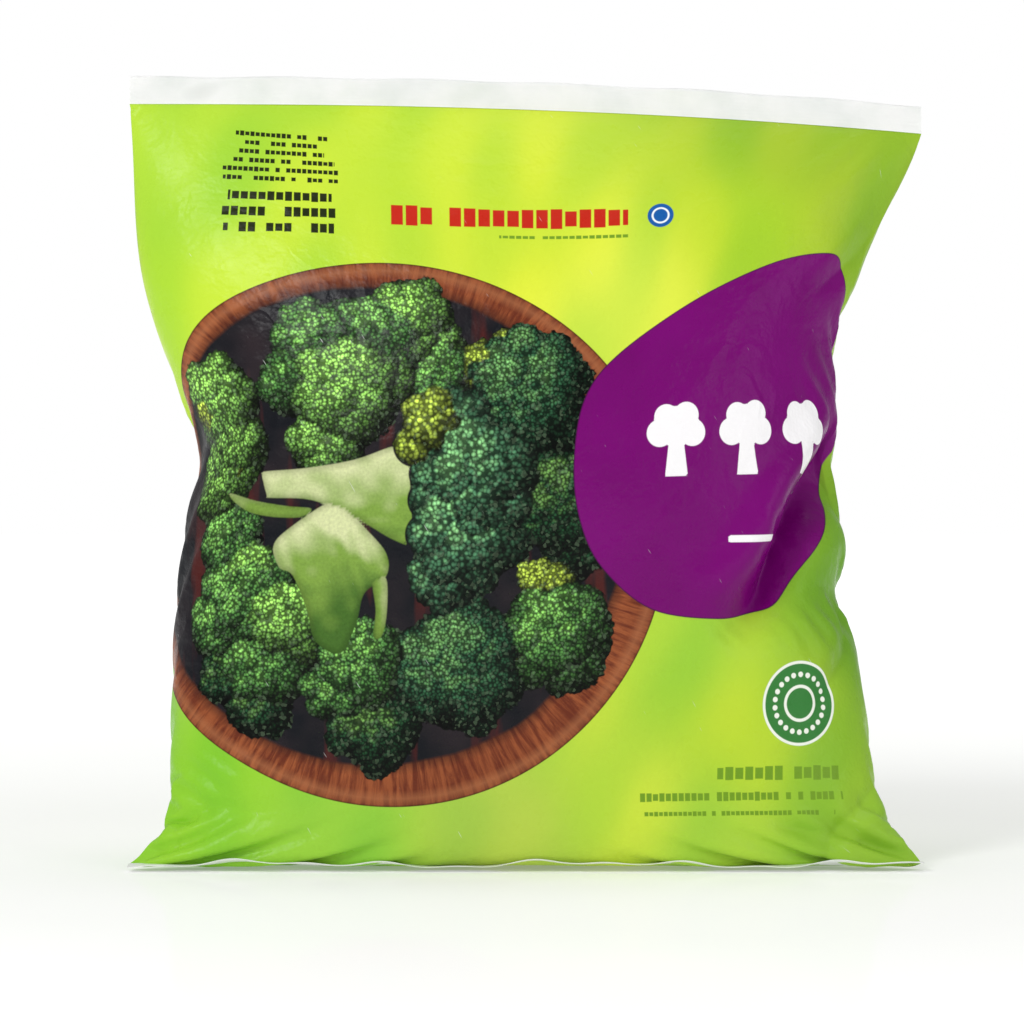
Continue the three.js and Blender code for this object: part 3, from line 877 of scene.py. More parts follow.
def painted(groups, u, v, seed):
    """The heads' colour, dark in the gaps between them and toward each ball's edge."""
    top, lit, rim, base, edge = drawn_heads(groups, u, v, seed)
    around = np.zeros(u.shape)
    for reach, ways in HALO:
        for turn in np.arange(ways) * 2 * math.pi / ways:
            move = (round(reach * math.sin(turn)), round(reach * math.cos(turn)))
            around = np.maximum(around, np.roll(top, move, (0, 1)) - top - 0.7 * reach)
    crevice = 0.12 + 0.88 * np.exp(-np.clip(around, 0, 40) / 5)
    shade = (0.12 + 1.75 * lit**1.9) * (0.45 + 0.55 * np.clip(rim * 2.6, 0, 1)) * crevice
    shade = shade * (0.8 + 0.4 * speckle(u, v, 9, seed + 1))
    shade = shade * (0.78 + 0.5 * speckle(u, v, 4.5, seed + 2))
    colour = base * shade[..., None]
    warm = np.clip(shade - 0.8, 0, 1)[..., None] * ink(150, 180, 60) * 0.35
    return colour + warm, edge


back_colour, back_edge = painted(HEADS, FRONT_U, FRONT_V, 11)
near_colour, near_edge = painted(FRONT_HEAD, FRONT_U, FRONT_V, 23)
print("heads cover", round(float((np.maximum(back_edge, near_edge) > 0).mean()), 3), "of the front")

# %% [markdown]
# ## The cut stems
#
# Pale stems lie across the bowl, in four pieces. Each is an outline and a light side: its
# colour runs from cream where light falls to green at its lower edge, with fibres along it.

# %% Stems
CREAM = ink(226, 230, 178)
STEM_GREEN = ink(128, 162, 68)
STEM_DEEP = ink(70, 108, 40)
STEMS = [  # outline, where its light side faces, where its fibres run, how light it is
    ([(-95, 146), (-96, 145), (-94, 138), (-93, 137), (-77, 136), (-61, 130), (-46, 122),
      (-32, 119), (-29, 133), (-34, 155), (-46, 155), (-61, 150), (-79, 147)],
     (-0.2, 1.0), (1.0, -0.12), 0.78),
    ([(-110, 139), (-98, 136), (-86, 134), (-77, 133), (-83, 130), (-100, 132)],
     (0, 1.0), (1.0, -0.2), 0.6),
    ([(-71, 135), (-83, 128), (-91, 121), (-89, 113), (-84, 110), (-79, 98), (-76, 87),
      (-67, 83), (-61, 94), (-58, 104), (-50, 110), (-50, 118), (-58, 127), (-65, 134)],
     (-0.5, 0.85), (0.35, -1.0), 0.5),
    ([(-55, 109), (-50, 109), (-50, 97), (-52, 89), (-55, 89), (-54, 98)],
     (1.0, 0.2), (0, 1.0), 0.5),
]
CUT_STEM = 2  # the stem that is cut across, so it has a flat face with an edge
CUT_CORNER, CUT_SLOPE, CUT_TOP = (-62, 118), (0.62, 0.78), 134


def drawn_stems(u, v):
    """The stems' colour, and how far inside a stem each place is."""
    edge = np.full(u.shape, NOTHING)
    colour = np.zeros(u.shape + (3,))
    for number, (points, lit_side, fibre, lightness) in enumerate(STEMS):
        inside = distance_inside(smooth_outline(points, 6), u, v)
        middle = np.mean(points, axis=0)
        spread = np.ptp(np.array(points), axis=0).max() / 2
        side = ((u - middle[0]) * lit_side[0] + (v - middle[1]) * lit_side[1]) / spread
        across = u * fibre[1] - v * fibre[0]
        light = np.clip(lightness + 0.7 * side, 0, 1)
        light = light + 0.05 * np.sin(across * 0.9 + 2 * np.sin(across * 0.21 + number))
        light = light + 0.2 * (speckle(u, v, 11, 40 + number) - 0.5)
        if number == CUT_STEM:
            face = (u - CUT_CORNER[0]) * CUT_SLOPE[0] + (v - CUT_CORNER[1]) * CUT_SLOPE[1]
            light = light + 0.2 * np.tanh(face / 1.5) * (v < CUT_TOP) + 0.12
        light = np.clip(light, 0, 1)[..., None]
        tint = STEM_DEEP + (STEM_GREEN - STEM_DEEP) * np.clip(light * 2.2, 0, 1)
        tint = tint + (CREAM - tint) * np.clip(light * 2.0 - 1.15, 0, 1)
        tint = tint * (0.62 + 0.38 * np.clip(inside / 2.5, 0, 1))[..., None]
        wins = inside > np.maximum(edge, -0.8)
        colour[wins] = tint[wins]
        edge = np.maximum(edge, inside)
    return colour, edge


stem_colour, stem_edge = drawn_stems(FRONT_U, FRONT_V)
stem_edge = np.minimum(stem_edge, -near_edge - 0.3)
print("stems cover", round(float((stem_edge > 0).mean()), 3), "of the front")

# %% [markdown]
# ## Flat shapes: the violet field, and what stands for the lettering
#
# A shop's own name and lettering don't belong on a reusable part. The title becomes a row of
# plain broccoli shapes, cut out white, the line under it one bar, and the small print blocks.
# A shape is kept as a distance to its edge, so it stays sharp however coarse the mesh is.

# %% The violet field and the white shapes on it
VIOLET_FIELD = [
    (112, 222), (124, 221), (133, 212), (141, 196), (146, 176), (141, 156), (131, 137), (118, 120),
    (100, 101), (86, 96), (70, 94), (45, 98), (27, 113), (19, 130), (17, 150), (21, 172),
    (34, 188), (63, 207), (90, 218),
]
TREES = [(54, 156), (81, 156), (108, 156)]
SUBTITLE = (82, 122)
SUBTITLE_HALF = (9.0, 1.2)


def plain_tree(x, y, u, v):
    """A broccoli shape as a child would cut it: a cloud of rounds on a stem."""
    shape = np.full(u.shape, NOTHING)
    rounds = [(-6, 3, 4.8), (0, 6, 6.2), (6, 3, 4.8), (-3.6, 8.6, 4.4), (3.8, 9, 4.6)]
    for dx, dy, radius in rounds:
        shape = np.maximum(shape, radius - np.hypot(u - x - dx, v - y - dy))
    stem = 2.5 + 0.12 * np.abs(v - y - 2) - np.abs(u - x)
    stem = np.minimum(stem, np.minimum(v - y + 12, y + 3 - v))
    return np.maximum(shape, stem)


def white_shapes(u, v):
    """How far inside the nearest white shape each place is."""
    shape = np.full(u.shape, NOTHING)
    for x, y in TREES:
        shape = np.maximum(shape, plain_tree(x, y, u, v))
    beside = SUBTITLE_HALF[0] - np.abs(u - SUBTITLE[0])
    bar = np.minimum(beside, SUBTITLE_HALF[1] - np.abs(v - SUBTITLE[1]))
    shape = np.maximum(shape, bar)
    return shape


field_edge = distance_inside(smooth_outline(VIOLET_FIELD), FRONT_U, FRONT_V)
white_edge = np.minimum(white_shapes(FRONT_U, FRONT_V), field_edge)
print("the violet field covers", round(float((field_edge > 0).mean()), 3), "of the front")

# %% [markdown]
# ## The lime ground, with painted shade
#
# The ground isn't one green. It is brightest above the bowl and darker at the sides and the
# foot, which is partly the print's own tone and partly painted shade. It has blurred lighter
# blades in it. A few spots of colour are blended by distance.

# %% Blend the ground from spots
SPOT_REACH = 20  # mm
# The darker spots at the sides and the foot are partly the print's tone, partly painted shade.
GROUND_AND_SHADE_SPOTS = [  # u, v, colour
    (-127, 249, (172, 217, 60)),
    (-54, 262, (190, 223, 58)),
    (0, 227, (209, 229, 58)),
    (32, 206, (216, 234, 76)),
    (99, 260, (152, 188, 50)),
    (128, 245, (148, 184, 48)),
    (84, 235, (180, 215, 48)),
    (-135, 210, (190, 226, 58)),
    (-140, 90, (150, 203, 78)),
    (-118, 39, (142, 206, 50)),
    (-69, 18, (150, 206, 64)),
    (-7, 18, (178, 206, 78)),
    (64, 82, (164, 211, 62)),
    (79, 58, (192, 220, 54)),
    (37, 33, (198, 224, 65)),
    (67, 14, (164, 208, 66)),
    (134, 90, (102, 158, 40)),
    (124, 50, (150, 192, 52)),
    (136, 15, (138, 188, 57)),
]


def lime_ground_and_shade(u, v):
    """The spots blended by distance, with a few lighter blades over them."""
    total, weight = np.zeros(u.shape + (3,)), np.zeros(u.shape)
    for x, y, colour in GROUND_AND_SHADE_SPOTS:
        near = 1 / (((u - x) ** 2 + (v - y) ** 2) / SPOT_REACH**2 + 1) ** 2
        total += near[..., None] * ink(*colour)
        weight += near
    colour = total / weight[..., None]
    blade = speckle(u * 0.8 + v * 0.35, v * 0.6 - u * 0.7, 42, 5)[..., None] - 0.5
    return colour * (1 + 0.24 * blade * np.array([1.6, 0.6, 0.6]))


def store_colour(mesh, name, values):
    """One colour for each point, to be read in the shader by this name."""
    layer = mesh.color_attributes.new(name, "FLOAT_COLOR", "POINT")
    full = np.concatenate([values, np.ones(values.shape[:-1] + (1,))], axis=-1)
    layer.data.foreach_set("color", full.astype(np.float32).reshape(-1))


def store_vector(mesh, name, parts):
    """Three numbers for each point."""
    layer = mesh.attributes.new(name, "FLOAT_VECTOR", "POINT")
    layer.data.foreach_set("vector", np.stack(parts, axis=-1).astype(np.float32).reshape(-1))


def merged_heads():
    """The back heads and the front head as one colour, the front one on top."""
    front = np.clip(near_edge / 0.6 + 0.5, 0, 1)[..., None]
    return back_colour * (1 - front) + near_colour * front


store_colour(film_front.data, "ground", lime_ground_and_shade(FRONT_U, FRONT_V))
store_colour(film_front.data, "heads", merged_heads())
store_colour(film_front.data, "stems", stem_colour)
any_head = np.maximum(back_edge, near_edge)
store_vector(film_front.data, "edges", [any_head, stem_edge, field_edge])
store_vector(film_front.data, "marks", [white_edge, near_edge, back_edge])
store_colour(film_back.data, "ground", lime_ground_and_shade(BACK_U[:, ::2], BACK_V[:, ::2]))
past_fold_u = 2 * HALF / MM - BACK_U[:, ::2]  # the front's measure, read on past the fold
past_fold = distance_inside(smooth_outline(VIOLET_FIELD), past_fold_u, BACK_V[:, ::2])
store_vector(film_back.data, "edges", [past_fold] * 3)
print("print stored on", len(film_front.data.vertices), "points")

# %% [markdown]
# ## A short way to write shader sums
#
# A print is a stack of inks, each one with its own edge. In nodes that is a long row of Math
# and Mix nodes, so a small helper writes them: a number goes into the socket, and a socket is
# linked. Every sum below is one node that can be opened and read in the Shader editor.

# %% The helper


class Recipe:
    """One material, and short names for the nodes that its sums are written with."""

    def __init__(self, name):
        self.material = bpy.data.materials.new(name)
        self.material.use_nodes = True
        self.tree = self.material.node_tree
        self.surface = self.tree.nodes["Principled BSDF"]
        self.count = 0

    def node(self, kind, inputs=(), **settings):
        """Adds a node, in columns of nine, with its inputs fed and its settings set."""
        made = self.tree.nodes.new(kind)
        made.location = (-400 - 190 * (self.count // 9), 600 - 170 * (self.count % 9))
        self.count += 1
        for name, value in settings.items():
            setattr(made, name, value)
        for socket, value in dict(inputs).items():
            self.feed(made.inputs[socket], value)
        return made

    def feed(self, socket, value):
        """Links a socket, or sets a number or a colour on it."""
        if isinstance(value, bpy.types.NodeSocket):
            self.tree.links.new(value, socket)
        elif hasattr(value, "__len__") and len(value) == 3 and socket.type == "RGBA":
            socket.default_value = (*value, 1)
        else:
            socket.default_value = value

    def math(self, operation, *values):
        inputs = {place: value for place, value in enumerate(values)}
        return self.node("ShaderNodeMath", inputs, operation=operation).outputs[0]

    def add(self, a, b):
        return self.math("ADD", a, b)

    def less(self, a, b):
        """a minus b."""
        return self.math("SUBTRACT", a, b)

    def times(self, a, b):
        return self.math("MULTIPLY", a, b)

    def mix(self, share, a, b, blend="MIX"):
        made = self.node("ShaderNodeMix", {0: share, 6: a, 7: b}, data_type="RGBA")
        made.blend_type = blend
        return made.outputs[2]

    def cut(self, distance, soft=0.3):
        """1 inside an outline and 0 outside, over a soft edge in mm."""
        made = self.node("ShaderNodeMapRange", {0: distance, 1: -soft / 2, 2: soft / 2})
        return made.outputs[0]

    def scale(self, value, low, high, new_low, new_high):
        """The value, stretched from one range to another and clamped there."""
        inputs = {0: value, 1: low, 2: high, 3: new_low, 4: new_high}
        return self.node("ShaderNodeMapRange", inputs).outputs[0]

    def colour(self, name):
        """A colour that is stored on the mesh's points."""
        return self.node("ShaderNodeAttribute", attribute_name=name).outputs["Color"]

    def three(self, name):
        """Three numbers that are stored together on the mesh's points."""
        vector = self.node("ShaderNodeAttribute", attribute_name=name).outputs["Vector"]
        return self.node("ShaderNodeSeparateXYZ", {0: vector}).outputs

    def place(self, x, y=0.0, z=0.0):
        """A place made of three numbers, for reading noise at."""
        return self.node("ShaderNodeCombineXYZ", {0: x, 1: y, 2: z}).outputs[0]

    def noise(self, vector, scale, detail=2.0, rough=0.5, distortion=0.0):
        inputs = {"Vector": vector, "Scale": scale, "Detail": detail, "Roughness": rough}
        inputs["Distortion"] = distortion
        return self.node("ShaderNodeTexNoise", inputs).outputs["Fac"]

    def cells(self, vector, scale, feature="F1", jitter=1.0):
        inputs = {"Vector": vector, "Scale": scale, "Randomness": jitter}
        return self.node("ShaderNodeTexVoronoi", inputs, feature=feature).outputs

    def chance(self, vector):
        return self.node("ShaderNodeTexWhiteNoise", {"Vector": vector}).outputs["Value"]

    def bump(self, height, distance, strength, under=None):
        inputs = {"Height": height, "Distance": distance, "Strength": strength}
        if under is not None:
            inputs["Normal"] = under
        return self.node("ShaderNodeBump", inputs).outputs[0]

    def finish(self, piece, **values):
        """Sets the surface's own sockets, and puts the material on a piece."""
        for name, value in values.items():
            self.feed(self.surface.inputs[name.replace("_", " ")], value)
        piece.data.materials.clear()
        piece.data.materials.append(self.material)
        print(self.material.name, "has", len(self.tree.nodes), "nodes")


print("recipe helper ready")

# %% [markdown]
# ## The wooden bowl
#
# The bowl is turned wood seen from above: a rim, thicker at the near side, and a dark inside.
# Both edges are ellipses, so they come straight from the place on the film. The rim's grain
# runs outward from the middle. It is noise read along the direction from the bowl's centre,
# which has no seam, with little change along the radius.

# %% Bowl inks
BOWL_RIM = ((-50, 124.5), (100.5, 95.5))  # centre and radii, in mm on the film
BOWL_INSIDE = ((-54, 127), (88.5, 83.5))


def oval(recipe, u, v, centre, radii):
    """How far inside an oval a place is, in mm, and its place measured from the centre."""
    x = recipe.math("DIVIDE", recipe.less(u, centre[0]), radii[0])
    y = recipe.math("DIVIDE", recipe.less(v, centre[1]), radii[1])
    far = recipe.math("SQRT", recipe.add(recipe.times(x, x), recipe.times(y, y)))
    inside = recipe.times(recipe.less(1.0, far), (radii[0] + radii[1]) / 2)
    return inside, x, y, far


def with_bowl(recipe, under, u, v, place):
    """The inks with the bowl over them: its wood, the dark inside, and a thin outline."""
    wobble = recipe.less(recipe.noise(place, 0.03, 2), 0.5)
    outer, x, y, far = oval(recipe, u, v, *BOWL_RIM)
    inner = oval(recipe, u, v, *BOWL_INSIDE)[0]
    inner = recipe.add(inner, recipe.times(wobble, 5.0))
    near = recipe.math("MAXIMUM", far, 0.05)
    across = recipe.math("DIVIDE", x, near)
    up = recipe.math("DIVIDE", y, near)
    grain_place = recipe.place(across, up, recipe.times(far, 0.14))
    grain = recipe.noise(grain_place, 42.0, 5, 0.62, 0.4)
    broad = recipe.noise(recipe.place(across, up, recipe.times(far, 2.0)), 2.6, 2)
    wood = recipe.mix(recipe.scale(grain, 0.4, 0.6, 0, 1), ink(104, 46, 28), ink(166, 92, 54))
    wood = recipe.mix(recipe.scale(broad, 0.3, 0.7, 0.45, 0), wood, ink(108, 48, 30))
    lip = recipe.scale(recipe.math("ABSOLUTE", recipe.less(outer, 3.0)), 0, 3.0, 0.5, 0)
    wood = recipe.mix(lip, wood, ink(176, 112, 74))
    wood = recipe.mix(recipe.scale(inner, -4, 0, 0, 0.75), wood, ink(52, 26, 20))
    streak = recipe.noise(recipe.place(u, recipe.times(v, 0.16)), 0.085, 3)
    dark = recipe.mix(recipe.scale(streak, 0.56, 0.66, 0, 0.8), ink(18, 20, 26), ink(84, 30, 26))
    cloud = recipe.noise(place, 0.045, 2)
    dark = recipe.mix(recipe.scale(cloud, 0.4, 0.75, 0, 0.55), dark, ink(58, 46, 50))
    bowl = recipe.mix(recipe.cut(inner, 1.2), wood, dark)
    line = recipe.scale(outer, 0.0, 0.7, 0.85, 0)
    bowl = recipe.mix(line, bowl, ink(40, 28, 18))
    return recipe.mix(recipe.cut(outer), under, bowl)


print("bowl inks ready")

# %% [markdown]
# ## Buds
#
# A broccoli head is thousands of closed buds. Voronoi cells are that pattern: a cell is a bud,
# its middle is light and the gap round it is dark. Each cell's own random colour makes some
# buds paler. The front head is nearer to the reader, so its buds are printed larger.

# %% Bud and stem inks
FAR_BUD, NEAR_BUD = 1.15, 1.55  # mm across


def bud_light(recipe, place, size):
    """How light each bud is over its dome, and a random number that is its own."""
    bent = recipe.noise(place, 0.4, 1)
    shifted = recipe.node("ShaderNodeVectorMath", {0: place, 1: recipe.place(bent, bent, 0.0)})
    cell = recipe.cells(shifted.outputs[0], 1 / size, "F1", 0.9)
    dome = recipe.scale(cell["Distance"], 0.08, 0.62, 1.75, 0.2)
    own = recipe.node("ShaderNodeSeparateColor", {0: cell["Color"]}).outputs
    return recipe.times(dome, recipe.scale(own[0], 0, 1, 0.8, 1.2)), own[1]


def with_broccoli(recipe, under, place):
    """The inks with the heads over them, and the stems over the heads."""
    shade = recipe.colour("heads")
    head, stem, _ = recipe.three("edges")
    _, near, _ = recipe.three("marks")
    fine, lucky = bud_light(recipe, place, FAR_BUD)
    large, _ = bud_light(recipe, place, NEAR_BUD)
    is_near = recipe.cut(near, 0.6)
    light = recipe.add(recipe.times(fine, recipe.less(1.0, is_near)), recipe.times(large, is_near))
    lit = recipe.node("ShaderNodeVectorMath", {0: shade, "Scale": light}, operation="SCALE")
    buds = recipe.mix(recipe.scale(lucky, 0.75, 1.0, 0, 0.12), lit.outputs[0], ink(170, 204, 160))
    knobs = recipe.noise(place, 0.42, 1)
    knobbly = recipe.add(head, recipe.times(recipe.less(knobs, 0.5), 3.0))
    out = recipe.mix(recipe.cut(knobbly, 0.5), under, buds)
    pale = recipe.colour("stems")
    fibre = recipe.scale(recipe.noise(place, 0.9, 3), 0.3, 0.7, 0.88, 1.08)
    skin = recipe.node("ShaderNodeVectorMath", {0: pale, "Scale": fibre}, operation="SCALE")
    return recipe.mix(recipe.cut(stem, 0.5), out, skin.outputs[0])


print("bud inks ready")

# %% [markdown]
# ## Small print as blocks
#
# Small print is only a texture here. Each line is cut into steps as wide as a letter, and
# white noise decides for each step whether it is filled and how high. It reads as a line of
# type from arm's length, and says nothing.

# %% Blocks for lines of type, and a badge
BADGE_DOTS = 22


def type_lines(recipe, u, v, area, pitch, height, letter, seed, centred=False):
    """1 where a line's blocks are. area is (left, right, bottom, top) in mm."""
    left, right, bottom, top = area
    rows = recipe.math("DIVIDE", recipe.less(top, v), pitch)
    row = recipe.math("FLOOR", rows)
    beside = recipe.less(recipe.math("FRACT", rows), 0.5)
    steps = recipe.math("DIVIDE", recipe.less(u, left), letter)
    step = recipe.math("FLOOR", steps)
    in_step = recipe.less(recipe.math("FRACT", steps), 0.5)
    own = recipe.chance(recipe.place(step, row, float(seed)))
    line = recipe.chance(recipe.place(row, float(seed), 3.0))
    tall = recipe.scale(own, 0.12, 1, height * 0.36, height * 0.5)
    tall = recipe.less(tall, recipe.math("ABSOLUTE", recipe.times(beside, pitch)))
    wide = recipe.less(letter * 0.4, recipe.math("ABSOLUTE", recipe.times(in_step, letter)))
    block = recipe.cut(recipe.math("MINIMUM", tall, wide), 0.25)
    block = recipe.times(block, recipe.math("GREATER_THAN", own, 0.14))
    shortest = (right - left) * (0.3 if centred else 0.44)
    reach = recipe.scale(line, 0, 1, shortest, (right - left) / 2)
    from_middle = recipe.math("ABSOLUTE", recipe.less(u, (left + right) / 2))
    block = recipe.times(block, recipe.math("LESS_THAN", from_middle, reach))
    in_height = recipe.math("ABSOLUTE", recipe.less(v, (bottom + top) / 2))
    return recipe.times(block, recipe.math("LESS_THAN", in_height, (top - bottom) / 2))


def ring(recipe, far, radius, half):
    """1 on a ring, where far is the distance from its centre."""
    return recipe.cut(recipe.less(half, recipe.math("ABSOLUTE", recipe.less(far, radius))), 0.3)


def with_badge(recipe, under, u, v, centre, radius):
    """A green disc with two rings, and a circle of dots between them."""
    x, y = recipe.less(u, centre[0]), recipe.less(v, centre[1])
    far = recipe.math("SQRT", recipe.add(recipe.times(x, x), recipe.times(y, y)))
    white = ink(244, 248, 236)
    out = recipe.mix(recipe.cut(recipe.less(radius, far)), under, ink(58, 128, 60))
    out = recipe.mix(ring(recipe, far, radius - 0.5, 0.5), out, white)
    out = recipe.mix(ring(recipe, far, radius * 0.4, 0.55), out, white)
    turn = recipe.times(recipe.math("ARCTAN2", y, x), BADGE_DOTS / (2 * math.pi))
    beside = recipe.less(recipe.math("FRACT", turn), 0.5)
    dots_radius = radius * 0.68
    arc = recipe.times(beside, 2 * math.pi * dots_radius / BADGE_DOTS)
    off = recipe.less(far, dots_radius)
    dot = recipe.math("SQRT", recipe.add(recipe.times(arc, arc), recipe.times(off, off)))
    return recipe.mix(recipe.cut(recipe.less(0.95, dot)), out, white)


BLACK, RED, OLIVE = ink(34, 42, 14), ink(196, 40, 24), ink(116, 156, 40)
BLUE, VIOLET = ink(24, 92, 168), ink(120, 2, 113)
FRONT_TYPE = [  # (left, right, bottom, top), line pitch, height, letter, seed, colour
    ((-106, -66, 249.5, 270.2), 3.45, 2.0, 1.8, 1, BLACK),
    ((-105, -67, 229.5, 247.5), 6.0, 3.9, 2.9, 5, BLACK),
    ((-54, 42, 234, 243.6), 9.6, 8.2, 5.2, 2, RED),
    ((-11, 41, 230, 232.8), 2.8, 1.4, 2.4, 3, OLIVE),
    ((70, 120, 36.8, 43.4), 6.5, 5.2, 3.8, 4, OLIVE),
    ((42, 120, 29.8, 34.4), 4.6, 3.2, 2.4, 6, OLIVE),
    ((40, 118, 24.8, 27.6), 2.8, 1.7, 1.8, 8, OLIVE),
]
print(len(FRONT_TYPE), "blocks of small print")

# %% [markdown]
# ## What the film itself adds
#
# The print lies under a clear layer, so all inks share one gloss. The film has a fine crumple
# that is too small for the mesh: sharp ridges where it was squeezed, from the edges of large
# cells, and a softer unevenness. Handling leaves a few short white scratches.

# %% Film gloss, crumple and scratches


def crumple(recipe, place, amount):
    """The normal of squeezed film: sharp ridges in patches, and soft waves."""
    bent = recipe.node("ShaderNodeVectorMath", {0: place}, operation="ADD")
    sway = recipe.noise(place, 0.05, 2)
    shift = recipe.times(recipe.less(sway, 0.5), 26.0)
    recipe.feed(bent.inputs[1], recipe.place(shift, shift, 0.0))
    edge = recipe.cells(bent.outputs[0], 0.045, "DISTANCE_TO_EDGE")["Distance"]
    ridge = recipe.scale(edge, 0.0, 0.16, 1.0, 0.0)
    patch = recipe.scale(recipe.noise(place, 0.018, 1), 0.45, 0.7, 0.0, 1.0)
    soft = recipe.noise(place, 0.11, 3, 0.55)
    fine = recipe.noise(place, 1.6, 2)
    height = recipe.add(recipe.times(recipe.times(ridge, patch), 0.5), recipe.times(soft, 1.6))
    first = recipe.bump(height, 0.001 * amount, 0.5)
    return recipe.bump(fine, 0.00005, 0.2, first)


def with_scratches(recipe, under, u, v, place):
    """The inks with a few short white hairs over them, all scratched about the same way."""
    slanted = recipe.place(recipe.add(u, recipe.times(v, 0.6)), recipe.times(v, 0.12), 0.0)
    hair = recipe.noise(slanted, 1.1, 1)
    where = recipe.scale(recipe.noise(place, 0.09, 1), 0.6, 0.68, 0, 1)
    mark = recipe.times(recipe.scale(hair, 0.73, 0.76, 0, 0.5), where)
    return recipe.mix(mark, under, ink(236, 236, 236))


def gloss(recipe, place):
    """The film's roughness. It is glossy, but not evenly."""
    return recipe.scale(recipe.noise(place, 0.14, 3), 0.3, 0.7, 0.24, 0.36)


print("film finish ready")

# %% [markdown]
# ## One ink over another
#
# The front's print is put together as a press would: the lime ground, the bowl, the broccoli,
# the violet field, white, and small print last. Each is mixed over the one before where its
# own outline says so. It could be many materials on cut-up faces, but then no edge would be
# sharper than a face, and the gloss would change from ink to ink, which it doesn't on film.

# %% Print the front
BADGE, MARK = ((102.5, 64.3), 14.8), ((48.5, 239), 4.7)  # centre and radius
FILM_SHEEN = 0.12
front_film = Recipe("printed_front_film")
u, v, _ = front_film.three("film_mm")
place = front_film.place(u, v, 0.0)
_, _, violet_inside = front_film.three("edges")
white_inside, _, _ = front_film.three("marks")
inks = with_bowl(front_film, front_film.colour("ground"), u, v, place)
inks = with_broccoli(front_film, inks, place)
violet = front_film.mix(
    front_film.scale(front_film.noise(place, 0.03, 2), 0.35, 0.7, 0, 0.6),
    VIOLET, ink(108, 2, 100),
)
violet = front_film.mix(front_film.scale(violet_inside, 0.1, 0.6, 0.8, 0), violet, ink(44, 10, 44))
inks = front_film.mix(front_film.cut(violet_inside), inks, violet)
inks = front_film.mix(front_film.cut(white_inside), inks, ink(250, 248, 250))
for area, pitch, height, letter, seed, colour in FRONT_TYPE:
    lines = type_lines(front_film, u, v, area, pitch, height, letter, seed, seed == 1)
    inks = front_film.mix(lines, inks, colour)
inks = with_badge(front_film, inks, u, v, *BADGE)
(mark_u, mark_v), mark_radius = MARK
mark_x, mark_y = front_film.less(u, mark_u), front_film.less(v, mark_v)
far = front_film.add(front_film.times(mark_x, mark_x), front_film.times(mark_y, mark_y))
far = front_film.math("SQRT", far)
inks = front_film.mix(front_film.cut(front_film.less(mark_radius, far)), inks, BLUE)
inks = front_film.mix(ring(front_film, far, 2.9, 0.35), inks, ink(240, 246, 250))
inks = with_scratches(front_film, inks, u, v, place)
front_film.finish(
    film_front, Base_Color=inks, Roughness=gloss(front_film, place), Specular_IOR_Level=FILM_SHEEN,
    Normal=crumple(front_film, place, 1.0),
)

# %% [markdown]
# ## The back and the seam
#
# The back carries the same lime with a plain panel of small print. The bowl and the violet
# field run on past the side folds, because the web is printed before it is folded. The seam
# is the web's own edge, in lime, with fine ribs from the wheel that welded it.

# %% Print the back and the seam
PANEL_MIDDLE, PANEL_HALF = (-66.0, 140.0), (52.0, 66.0)
back_film = Recipe("printed_back_film")
u, v, _ = back_film.three("film_mm")
place = back_film.place(u, v, 0.0)
from_middle = back_film.math("ABSOLUTE", back_film.less(u, PANEL_MIDDLE[0]))
panel_x = back_film.less(PANEL_HALF[0], from_middle)
from_middle = back_film.math("ABSOLUTE", back_film.less(v, PANEL_MIDDLE[1]))
panel_y = back_film.less(PANEL_HALF[1], from_middle)
panel = back_film.cut(back_film.math("MINIMUM", panel_x, panel_y))
inks = back_film.mix(panel, back_film.colour("ground"), ink(238, 246, 206))
BACK_TYPE = [
    ((-112, -20, 84, 196), 5.6, 2.6, 1.9, 21, ink(60, 90, 30)),
    ((22, 112, 60, 228), 5.0, 2.2, 1.7, 22, ink(60, 96, 28)),
    ((22, 112, 236, 252), 8.0, 5.0, 4.0, 23, ink(124, 13, 117)),
]
for area, pitch, height, letter, seed, colour in BACK_TYPE:
    lines = type_lines(back_film, u, v, area, pitch, height, letter, seed)
    inks = back_film.mix(lines, inks, colour)
violet_inside, _, _ = back_film.three("edges")
inks = back_film.mix(back_film.cut(violet_inside), inks, VIOLET)
inks = with_bowl(back_film, inks, back_film.less(-2 * HALF / MM, u), v, place)
inks = with_scratches(back_film, inks, u, v, place)
back_film.finish(
    film_back, Base_Color=inks, Roughness=gloss(back_film, place), Specular_IOR_Level=FILM_SHEEN,
    Normal=crumple(back_film, place, 1.3),
)

seam_film = Recipe("seam_film")
u, v, _ = seam_film.three("film_mm")
place = seam_film.place(u, v, 0.0)
tone = seam_film.scale(seam_film.noise(place, 0.06, 2), 0.3, 0.7, 0, 1)
lime = seam_film.mix(tone, ink(176, 218, 62), ink(150, 198, 54))
ribs = seam_film.math("SINE", seam_film.times(v, 4.2))
seam_film.finish(
    fin_seam_strip, Base_Color=lime, Roughness=gloss(seam_film, place), Specular_IOR_Level=FILM_SHEEN,
    Normal=seam_film.bump(ribs, 0.0001, 0.5),
)

# %% [markdown]
# ## The clear welds
#
# The welds have no ink: they are two layers of milky clear film with fine ribs from the jaws,
# nearly white against a pale room. Glass would be the plain choice, but two hazy layers
# scatter light more than they pass it, so this is a pale surface with a little transmission.

# %% Clear film for both welds


